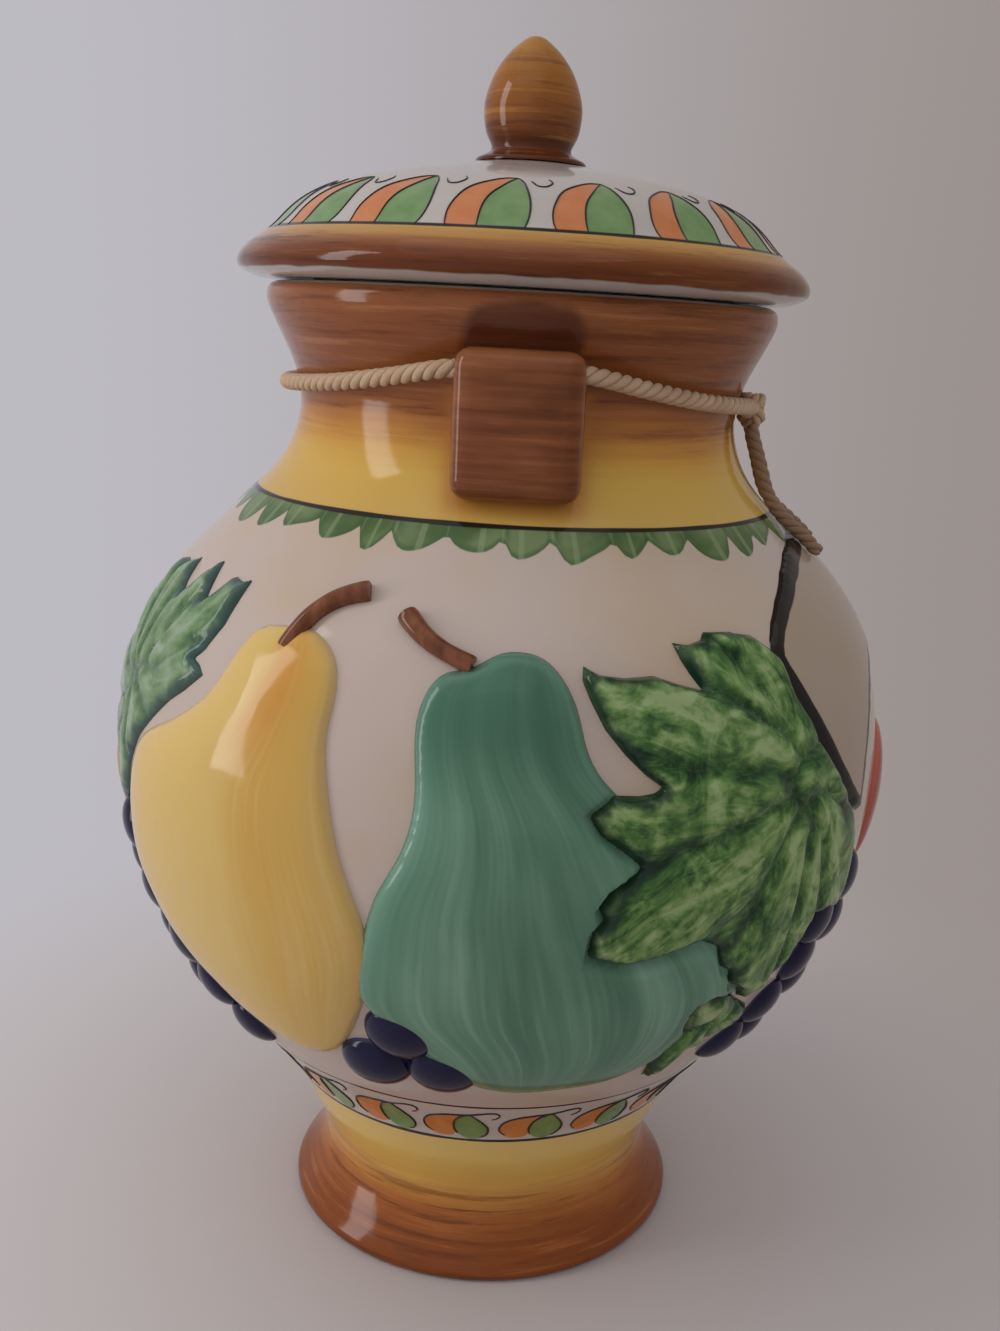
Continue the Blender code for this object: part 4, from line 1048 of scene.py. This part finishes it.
# Round fruit: a red one below the sign and a peach at the back, each a sprig with a soft groove down
# its middle, brushed round its own shape and paler towards the edge.
FRUIT_HALF = (
    (90, 143), (86, 144.6), (81, 145), (76.5, 143), (73.5, 139), (71.4, 133.5), (71, 128),
    (72.6, 119.5), (76, 111), (80, 106), (84.5, 103.5), (90, 105),
)
fruit_outline = rounded_loop(flat(across_front(FRUIT_HALF)), 160)
behind_outline = fruit_outline - (math.pi * BELLY, 0)
other_back = flat([(-180 - a, h) for a, h in BACK_LEAF])[::-1]
for title, node, slot, outline, dark, light, pale, covers in (
    ("red_fruit", "red_fruit_front", "red_glaze", fruit_outline,
     (0.24, 0.020, 0.014), (0.35, 0.042, 0.026), (0.44, 0.11, 0.075), ()),
    ("peach", "peach_fruit_back", "peach_glaze", behind_outline,
     (0.52, 0.20, 0.08), (0.56, 0.31, 0.14), (0.57, 0.40, 0.25), (back_outline, other_back)),
):
    skin = new_paint(f"{title}_glaze")
    across, up = drawn_places(skin)
    marks = brush_marks(across, up, 6)
    colour = over(fade(marks, 0.35, 0.7), dark, light)
    colour = over(fade(noted(skin, "rim"), 2.8, 0.4), colour, pale)
    finish_paint(skin, colour)
    middle = outline.mean(axis=0)[0]

    def raised(spots, depth):
        height = pillow(depth, 2.5, 14)
        for cover in covers:
            height = height * clear_of(spots, cover)
        groove = np.exp(-(((spots[:, 0] - middle) / 2.2) ** 2))
        groove = groove * np.clip((spots[:, 1] - 118) / 20, 0, 1)
        return height * (1 - 0.16 * groove) + SPRIG_EDGE

    piece, spots = sprig(f"moulded_{title}", outline, raised)
    note_across(piece, spots, outline)
    seat(piece, node, skin)

# Grapes: bunches of small round caps of clay pressed side by side, glazed a navy that is nearly black
# and runs thin and bluish where two grapes meet.
TRIO = ((-12.6, 88.6), (-18, 76.6), (-6.8, 77.2))
FRONT_GRAPES = (
    (61.5, 114), (62.5, 102), (54.8, 106), (55, 95), (59.5, 87), (51.5, 83.5), (46.5, 73.5),
    (54.8, 73.5),
)
BACK_GRAPES = (
    (-69.5, 114.5), (-73.5, 104), (-66.5, 99.5), (-59.5, 89), (-68, 88), (-54.5, 79.5),
    (-62, 77.5), (-49.5, 70.5),
)
navy = new_paint("navy_grape_glaze", 0.09)
depth = noted(navy, "up_the_grape")
bloom = speckle(place_on(navy), (120, 120, 120), 3.0)
colour = over(bloom, (0.006, 0.005, 0.026), (0.011, 0.010, 0.042))
colour = over(fade(depth, 0.30, 0.04), colour, (0.09, 0.09, 0.17))
finish_paint(navy, colour, 0.6)
for stem, centres, radius, proud in (
    ("grape_trio", TRIO, 8.6, 4.3), ("front_grapes", FRONT_GRAPES, 7.4, 3.2),
    ("back_grapes", BACK_GRAPES, 7.4, 3.2),
):
    bpy.ops.object.select_all(action="DESELECT")
    balls, heights = [], []
    for angle, height in centres:
        bpy.ops.mesh.primitive_uv_sphere_add(segments=28, ring_count=18, radius=1)
        ball = bpy.context.active_object
        spots = points_of(ball) * MM
        heights.append(spots[:, 2])
        out = Vector(on_wall(angle, height, 1) - on_wall(angle, height, 0)).normalized()
        east = Vector((math.sin(math.radians(angle)), -math.cos(math.radians(angle)), 0))
        north = out.cross(east).normalized()
        frame_of = Matrix((east, north, out)).transposed().to_4x4()
        sized = Matrix.Diagonal((radius * MM, radius * MM, (proud + 0.8) * MM, 1))
        ball.data.transform(Matrix.Translation(on_wall(angle, height, -0.8) * MM) @ frame_of @ sized)
        balls.append(ball)
    bpy.ops.object.select_all(action="DESELECT")
    for ball in balls:
        ball.select_set(True)
    bpy.context.view_layer.objects.active = balls[0]
    bpy.ops.object.join()
    bunch = bpy.context.active_object
    bpy.ops.object.shade_smooth()
    note(bunch, "up_the_grape", np.concatenate(heights))
    seat_pair(bunch, stem, navy)

# Pear stems: short rolled stalks of clay, cut square at the tip and pressed on above each pear. The
# brown is brushed on in darker and lighter streaks.
bark = new_paint("brown_stem_glaze")
streak = speckle(place_on(bark), (210, 210, 90), 3.0, 0.6)
colour = graded(
    streak, 0.25, 0.8,
    [(0.25, (0.085, 0.028, 0.013)), (0.5, (0.17, 0.055, 0.024)), (0.8, (0.29, 0.115, 0.055))],
)
finish_paint(bark, colour, 0.8)
for stem, route, widths in (
    ("gold_pear_stem", ((-30.9, 170.4), (-29.6, 175.2), (-28.1, 178.1), (-25.2, 180.9), (-21.2, 182.6)),
     (2.1, 1.95, 1.9, 2.05, 2.3)),
    ("teal_pear_stem", ((-14.4, 179.3), (-10.2, 175.0), (-6.6, 172.7), (-4.3, 171.5)),
     (2.35, 2.1, 1.9, 2.0)),
):
    run = flowing(route, 26)
    widths = np.interp(np.linspace(0, 1, 26), np.linspace(0, 1, len(widths)), widths)
    places = on_wall(run[:, 0], run[:, 1], 0.8)
    ring = np.linspace(0, 2 * math.pi, 20, endpoint=False)
    rows = []
    for i, (middle, width) in enumerate(zip(places, widths)):
        ahead = Vector(places[min(i + 1, 25)] - places[max(i - 1, 0)]).normalized()
        out = Vector(on_wall(*run[i], 1) - on_wall(*run[i], 0))
        beside = ahead.cross(out).normalized()
        out = beside.cross(ahead)
        lean = 0.93 if i in (0, 25) else 1.0
        for turn in ring:
            reach = np.array(beside) * math.cos(turn) + np.array(out) * math.sin(turn)
            rows.append(middle + reach * width * lean)
    faces = [
        (20 * i + j, 20 * i + (j + 1) % 20, 20 * i + 20 + (j + 1) % 20, 20 * i + 20 + j)
        for i in range(25)
        for j in range(20)
    ]
    faces += [tuple(range(19, -1, -1)), tuple(range(500, 520))]
    seat_pair(built(stem, np.array(rows) * MM, faces, 50), stem, bark)

# Cord: satin cord of three strands laid up together, 4 mm thick, taken round the neck through both
# lugs and tied at the front. Its two tails are pulled thinner by the knot and hang below it.
CORD = 0.004
STRAND = 0.00107
STRAND_OFFSET = 0.00093
LAY = 0.0092
STAND = 2.3
KNOT_ANGLE = 84
KNOT_HEIGHT = 221.1
KNOT_STAND = 3.7
KNOT_SIZE = (0.0105, 0.0102, 0.0072)
KNOT_STRAND = 0.00105
LOOP_GAP = 5.62
QUARTER = (
    (22, 226.4, 2.0), (31, 224.9, 0.6), (42, 223.4, 0.2), (55, 222.3, 0.1), (68, 221.7, 0.2),
    (81, 221.4, 0.4),
)
TAIL_ROUTE = (
    (4.4, 216.8, 4.3), (5.0, 215.0, 4.6), (6.6, 211.0, 5.2), (8.0, 207.0, 5.2), (9.4, 202.5, 4.3),
    (10.4, 198.8, 3.4), (10.7, 195.5, 3.4), (10.5, 192.5, 4.2), (10.0, 189.5, 4.7), (9.7, 188.0, 4.7),
)
TAIL = 0.0034


def off_axis(angle, height, stand):
    """The place that stands this far off the wall, measured level."""
    turn = math.radians(angle)
    radius = np.interp(height, side[:, 1], side[:, 0]) + stand
    return np.array([-radius * math.cos(turn), -radius * math.sin(turn), height])


satin = new_paint("twisted_satin_cord", 0.42)
plug(satin, "Coat Weight", 0.0)
plug(satin, "Sheen Weight", 0.12)
drawn = add(satin, "UVMap", {}, uv_map="lay")
fibres = speckle(drawn, (9, 260, 1), 3.0, 0.6)
soil = speckle(place_on(satin), (60, 60, 60), 2.0)
colour = over(fade(fibres, 0.3, 0.72), (0.45, 0.28, 0.16), (0.74, 0.53, 0.35))
soil = times(fade(soil, 0.45, 0.75), 0.4)
colour = over(soil, colour, (0.36, 0.20, 0.10))
# The hanging tails are painted darker: painted shade.
colour = over(times(noted(satin, "tail_shade"), 0.7), colour, (0.17, 0.085, 0.042))
# Painted shade: each strand is darker on the side that faces the other strands, in the grooves of the
# lay.
groove = times(noted(satin, "groove"), 0.8)
colour = over(groove, colour, (0.13, 0.065, 0.030))
plug(satin, "Base Color", colour)
bump = {"Height": fibres, "Strength": 0.5, "Distance": 0.0004}
plug(satin, "Normal", add(satin, "Bump", bump))


def twisted(name, node, route, offset, strand, lay=LAY):
    """Three strands laid up round a route in metres, as one mesh that stands for a node."""
    length = np.linalg.norm(np.diff(route, axis=0), axis=1).sum()
    route = flowing(route, max(int(length / 0.00055), 8))
    ahead = np.gradient(route, axis=0)
    ahead /= np.linalg.norm(ahead, axis=1)[:, None]
    along = np.concatenate([[0], np.cumsum(np.linalg.norm(np.diff(route, axis=0), axis=1))])
    beside = np.cross(ahead[0], (0, 0, 1) if abs(ahead[0][2]) < 0.9 else (1, 0, 0))
    besides = []
    for way in ahead:
        beside = beside - way * (beside @ way)
        beside = beside / np.linalg.norm(beside)
        besides.append(beside)
    besides = np.array(besides)
    ups = np.cross(ahead, besides)
    points, faces, groove_shade, sheet = [], [], [], []
    ring = np.linspace(0, 2 * math.pi, 12, endpoint=False)
    ends = np.minimum(along, along[-1] - along) / strand
    plump = np.sqrt(np.clip(1 - (1 - np.clip(ends + 0.12, 0, 1)) ** 2, 0, 1))
    for k in range(3):
        phase = 2 * math.pi * k / 3 - 2 * math.pi * along / lay
        core = np.cos(phase)[:, None] * besides + np.sin(phase)[:, None] * ups
        middles = route + core * offset * (0.35 + 0.65 * plump[:, None])
        runs = np.gradient(middles, axis=0)
        runs /= np.linalg.norm(runs, axis=1)[:, None]
        outs = core - runs * (core * runs).sum(axis=1)[:, None]
        outs /= np.linalg.norm(outs, axis=1)[:, None]
        sides = np.cross(runs, outs)
        start = len(points)
        for i in range(len(route)):
            for j, turned in enumerate(ring):
                reach = math.cos(turned) * outs[i] + math.sin(turned) * sides[i]
                points.append(middles[i] + reach * strand * plump[i])
                # Painted shade in the grooves: 1 on a strand's inner side, 0 on its outer side.
                groove_shade.append(min(1, max(0, (0.35 - math.cos(turned)) / 0.6)))
                sheet.append((along[i] * 40 + k * 3.1, j / 12))
        for i in range(len(route) - 1):
            for j in range(12):
                a, b = start + 12 * i + j, start + 12 * i + (j + 1) % 12
                faces.append((a, b, b + 12, a + 12))
        faces.append(tuple(range(start + 11, start - 1, -1)))
        last = start + 12 * (len(route) - 1)
        faces.append(tuple(range(last, last + 12)))
    piece = built(name, points, faces)
    note(piece, "groove", groove_shade)
    lay_out(piece, "lay", sheet)
    seat(piece, node, satin)
    return piece


def overhand(name, node, middle, ahead, up, size, strand):
    """A small tight knot: a strand that passes round itself three ways, in a box of this size."""
    turns = np.linspace(0, 2 * math.pi, 90)
    bend = np.sin(turns) + 2 * np.sin(2 * turns), np.cos(turns) - 2 * np.cos(2 * turns)
    bend = np.stack([*bend, -np.sin(3 * turns)], axis=1)
    bend /= np.abs(bend).max(axis=0)
    ahead = np.array(ahead) / np.linalg.norm(ahead)
    across = np.cross(up, ahead)
    across /= np.linalg.norm(across)
    up = np.cross(ahead, across)
    room = np.array(size) / 2 - strand * 1.9
    spots = middle + (bend * room) @ np.array([ahead, up, across])
    return twisted(name, node, spots, strand * 0.85, strand, LAY * 0.8)


loop = [off_axis(KNOT_ANGLE + LOOP_GAP, KNOT_HEIGHT, KNOT_STAND)]
loop += [off_axis(180 - a, h, STAND + off) for a, h, off in QUARTER[::-1]]
loop += [np.array([LUG_HOLE[0], t * LUG_HOLE[1], LUG_HOLE[2]]) for t in (-1, 0, 1)]
loop += [off_axis(180 + a, h, STAND + off) for a, h, off in QUARTER]
loop += [off_axis(360 - a, h, STAND + off) for a, h, off in QUARTER[::-1]]
loop += [np.array([-LUG_HOLE[0], -t * LUG_HOLE[1], LUG_HOLE[2]]) for t in (-1, 0, 1)]
loop += [off_axis(a, h, STAND + off) for a, h, off in QUARTER[:-1]]
loop += [off_axis(KNOT_ANGLE - LOOP_GAP, KNOT_HEIGHT, KNOT_STAND)]
loop = flowing(np.array(loop) * MM, 200)
neck_cord = twisted("neck_cord_rope", "neck_cord", loop, STRAND_OFFSET, STRAND)
middle = off_axis(KNOT_ANGLE, KNOT_HEIGHT - 0.5, KNOT_STAND) * MM
outward = off_axis(KNOT_ANGLE, KNOT_HEIGHT, 9) - off_axis(KNOT_ANGLE, KNOT_HEIGHT, 1)
onward = np.cross((0, 0, 1), outward)
knot = overhand("front_knot", "cord_knot", middle, onward, (0, 0, 1), KNOT_SIZE, KNOT_STRAND)
for way, hand in ((-1, "left"), (1, "right")):
    route = [off_axis(KNOT_ANGLE + way * a, h, stand) for a, h, stand in TAIL_ROUTE]
    route = flowing(np.array(route) * MM, 30)
    slim = TAIL / CORD
    thinner = STRAND_OFFSET * slim, STRAND * slim, LAY * slim
    tail = twisted(f"hanging_tail_{hand}", f"cord_tail_{hand}", route, *thinner)
    # Mark the whole tail for its painted shade.
    note(tail, "tail_shade", np.ones(len(tail.data.vertices)))

# Lid: a thrown white dome with a rolled, brown-brushed edge and a locating flange underneath. Seventeen
# pairs of an orange crescent and a green leaf are painted round it, standing on a black line.
LID_SIDE = (
    (0, 273.9), (6, 273.9), (13.4, 273.8), (21, 272.6), (28, 271.3), (34.5, 270.1), (39.5, 269.0),
    (43.3, 268), (48.5, 266), (50.6, 265), (54, 263), (56.5, 261), (58.5, 259), (60.4, 257),
    (62.2, 255.5), (63.8, 254.3), (65.8, 252.9), (67.5, 251.3), (68.6, 249.7), (68.9, 248.4),
    (68.5, 247.1), (67.1, 246.1), (64.6, 245.2), (62.1, 244.8),
)
FLANGE = (
    (60, 244.7), (51.2, 244.7), (51, 244.5), (51, 239.2), (49.8, 239.2), (49.8, 235.1), (51, 235.1),
    (51, 233.9), (50.7, 233.2), (50, 232.9), (47, 232.9), (46.3, 233.2), (46, 233.9), (46, 258.2),
    (45.5, 259.9), (44.5, 261.2), (43, 262.5), (41, 263.6), (34, 265.8), (27, 267.2), (20, 268.3),
    (12, 269.2), (0, 269.4),
)
RIM_LINE = 255.8
RIM_LINE_RADIUS = 61.8
LID_MOTIFS = 17
LID_START = -15.7
MOTIF_REACH = 15.0
LID_CRESCENT = (
    (0.0, -0.02), (-0.03, 0.2), (0.01, 0.4), (0.11, 0.64), (0.30, 0.84), (0.48, 0.95), (0.61, 0.96),
    (0.55, 0.9), (0.44, 0.69), (0.33, 0.44), (0.29, 0.22), (0.29, -0.02),
)
LID_LEAF = (
    (0.28, -0.02), (0.285, 0.22), (0.33, 0.44), (0.45, 0.69), (0.55, 0.9), (0.61, 0.96), (0.66, 0.84),
    (0.70, 0.68), (0.745, 0.45), (0.76, 0.25), (0.70, -0.02),
)
LID_PEN = (
    ((0.0, 0.0), (-0.03, 0.2), (0.01, 0.4), (0.11, 0.64), (0.30, 0.84), (0.48, 0.95), (0.61, 0.96)),
    ((0.285, 0.0), (0.285, 0.22), (0.33, 0.44), (0.45, 0.69), (0.56, 0.9), (0.61, 0.96)),
    ((0.61, 0.96), (0.67, 0.84), (0.71, 0.68), (0.75, 0.45), (0.76, 0.25), (0.71, 0.0)),
    ((0.76, 0.88), (0.80, 0.79), (0.84, 0.73), (0.91, 0.72), (0.98, 0.79), (1.005, 0.88), (0.97, 0.97)),
)
lid_side = flowing(LID_SIDE, 150)
lid_top = lid_side[: lid_side[:, 0].argmax() + 1]
inside = []
for a, b in zip(FLANGE, FLANGE[1:]):
    parts = max(int(math.dist(a, b) / 1.6), 1)
    inside += [np.array(a) + (np.array(b) - a) * i / parts for i in range(parts)]
lid = thrown("painted_lid", [LID_SIDE[0], *lid_side[1:], *inside, FLANGE[-1]], 320)
lid_angle, lid_radius, lid_height = round_axis(lid)
top = lid_height >= np.interp(lid_radius, *lid_top.T) - 0.6
petal_up = np.where(top, (RIM_LINE_RADIUS - lid_radius) / MOTIF_REACH, 9)
note_motifs(lid, lid_angle, petal_up, LID_MOTIFS, LID_START, (20.2, 17.0), (LID_CRESCENT, LID_LEAF))
note(lid, "from_axis", lid_radius)
note(lid, "below", (lid_radius < 61.5) & ~top)
white = new_paint("painted_lid_glaze", 0.09)
place = place_on(white)
height = height_on(place)
wander = swing(place, (55, 55, 55), 2.0)
strokes = swing(place, (16, 16, 700), 4.0, 0.62)
clouds = speckle(place, (20, 20, 20), 3.0)
colour = over(fade(clouds, 0.35, 0.75), (0.465, 0.415, 0.385), (0.465, 0.405, 0.355))
from_axis = noted(white, "from_axis")
for ring, depth in ((17.5, 0.10), (31.0, 0.08), (40.5, 0.06)):
    turning = line(from_axis, ring, 0.5)
    colour = over(times(turning, depth), colour, (0.34, 0.29, 0.22))
dabs = speckle(place, (220, 220, 220), 2.0)
colour = filled_in(
    colour, dabs,
    orange=((0.50, 0.14, 0.040), (0.58, 0.23, 0.095)),
    green=((0.10, 0.20, 0.060), (0.22, 0.32, 0.145)),
)
brushed_height = added(strokes, 2.6, height)
rim_paint = graded(
    brushed_height, 246, 256.4,
    [(246, (0.170, 0.045, 0.010)), (248.2, (0.130, 0.032, 0.008)), (250.8, (0.160, 0.042, 0.010)),
     (252.6, (0.26, 0.095, 0.024)), (254.4, (0.45, 0.225, 0.055)), (256.4, (0.53, 0.31, 0.088))],
)
on_brown = fade(height, 255.5, 252.5)
rim_paint = bristled(rim_paint, on_brown, (0.060, 0.016, 0.005), (0.32, 0.12, 0.035))
not_below = reckon("SUBTRACT", 1.0, noted(white, "below"))
lower_edge = fade(added(wander, 1.6, height), 246.4, 246.9)
on_rim = times(fade(height, RIM_LINE + LINE_EDGE / 2, RIM_LINE - LINE_EDGE / 2), lower_edge)
colour = over(times(on_rim, not_below), colour, rim_paint)
rim_pen = line(height, RIM_LINE, added(wander, 0.3, 0.33))
colour = over(times(rim_pen, not_below), colour, INK)
finish_paint(white, colour)
seat(lid, "lid", white, "lid")


def on_lid(angle, radius):
    """The place on top of the lid at this angle and this far from its axis."""
    turn = np.radians(angle)
    height = np.interp(radius, *lid_top.T)
    place = [-radius * np.cos(turn), -radius * np.sin(turn), height]
    return np.stack(np.broadcast_arrays(*place), axis=-1)


pen_strokes(
    "lid_pen_lines", LID_PEN, LID_START, LID_MOTIFS,
    lambda turn, up: on_lid(turn, RIM_LINE_RADIUS - up * MOTIF_REACH), 0.5, "lid",
)

# Seal: a ring moulded in clear soft rubber. It is stretched into the groove of the lid's flange and
# grips the inside of the mouth.
low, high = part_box("lid_seal_ring")
SEAL_BORE_RADIUS = 50.1
SEAL_CORNER = 1.05
outer = (high[0] - low[0]) / 2 / MM - SEAL_CORNER
inner = SEAL_BORE_RADIUS + SEAL_CORNER
floor, roof = low[2] / MM + SEAL_CORNER, high[2] / MM - SEAL_CORNER
bends = []
for i, (out, up) in enumerate(((outer, roof), (inner, roof), (inner, floor), (outer, floor))):
    for turn in np.radians(np.linspace(90 * i, 90 * i + 90, 5)):
        bends.append((out + SEAL_CORNER * math.cos(turn), up + SEAL_CORNER * math.sin(turn)))
seal = thrown("soft_seal", bends + bends[:1], 160)
clear = new_paint("clear_soft_seal", 0.32)
haze = speckle(place_on(clear), (120, 120, 400), 3.0)
finish_paint(clear, over(haze, (0.48, 0.50, 0.49), (0.60, 0.61, 0.59)), 0.5)
seat(seal, "lid_seal_ring", clear, "lid")

# Knob: an acorn-shaped handle thrown separately and luted to the lid, brushed round and round, amber
# at the tip and darker down to its waist.
KNOB_SIDE = (
    (13.4, 274.15), (13.2, 274.8), (12.1, 275.5), (10.7, 276.2), (9.8, 276.8), (9.55, 277.4),
    (10.0, 278.9), (10.9, 280.7), (11.5, 283.4), (11.7, 286.0), (11.4, 288.6), (10.3, 292.1),
    (9.1, 294.7), (7.3, 297.3), (5.6, 299.2), (3.7, 300.8), (1.9, 302.0), (0, 302.5),
)
KNOB_FOOT = 274.1
knob_side = flowing(KNOB_SIDE, 90)
knob = thrown("acorn_knob", [(0, KNOB_FOOT), *knob_side[:-1], KNOB_SIDE[-1]], 128)
acorn = new_paint("acorn_knob_glaze", 0.08)
place = place_on(acorn)
height = height_on(place)
strokes = swing(place, (22, 22, 520), 4.0, 0.66)
brushed_height = added(strokes, 11.0, height)
colour = graded(
    brushed_height, 272, 304,
    [(272, (0.070, 0.013, 0.003)), (279, (0.125, 0.034, 0.010)), (284, (0.225, 0.072, 0.018)),
     (290, (0.275, 0.097, 0.020)), (296, (0.32, 0.125, 0.020)), (304, (0.40, 0.178, 0.026))],
)
on_brown = fade(height, 303, 292)
colour = bristled(colour, on_brown, (0.095, 0.026, 0.007), (0.44, 0.20, 0.048))
finish_paint(acorn, colour, 0.8)
seat(knob, "lid_knob", acorn, "lid")
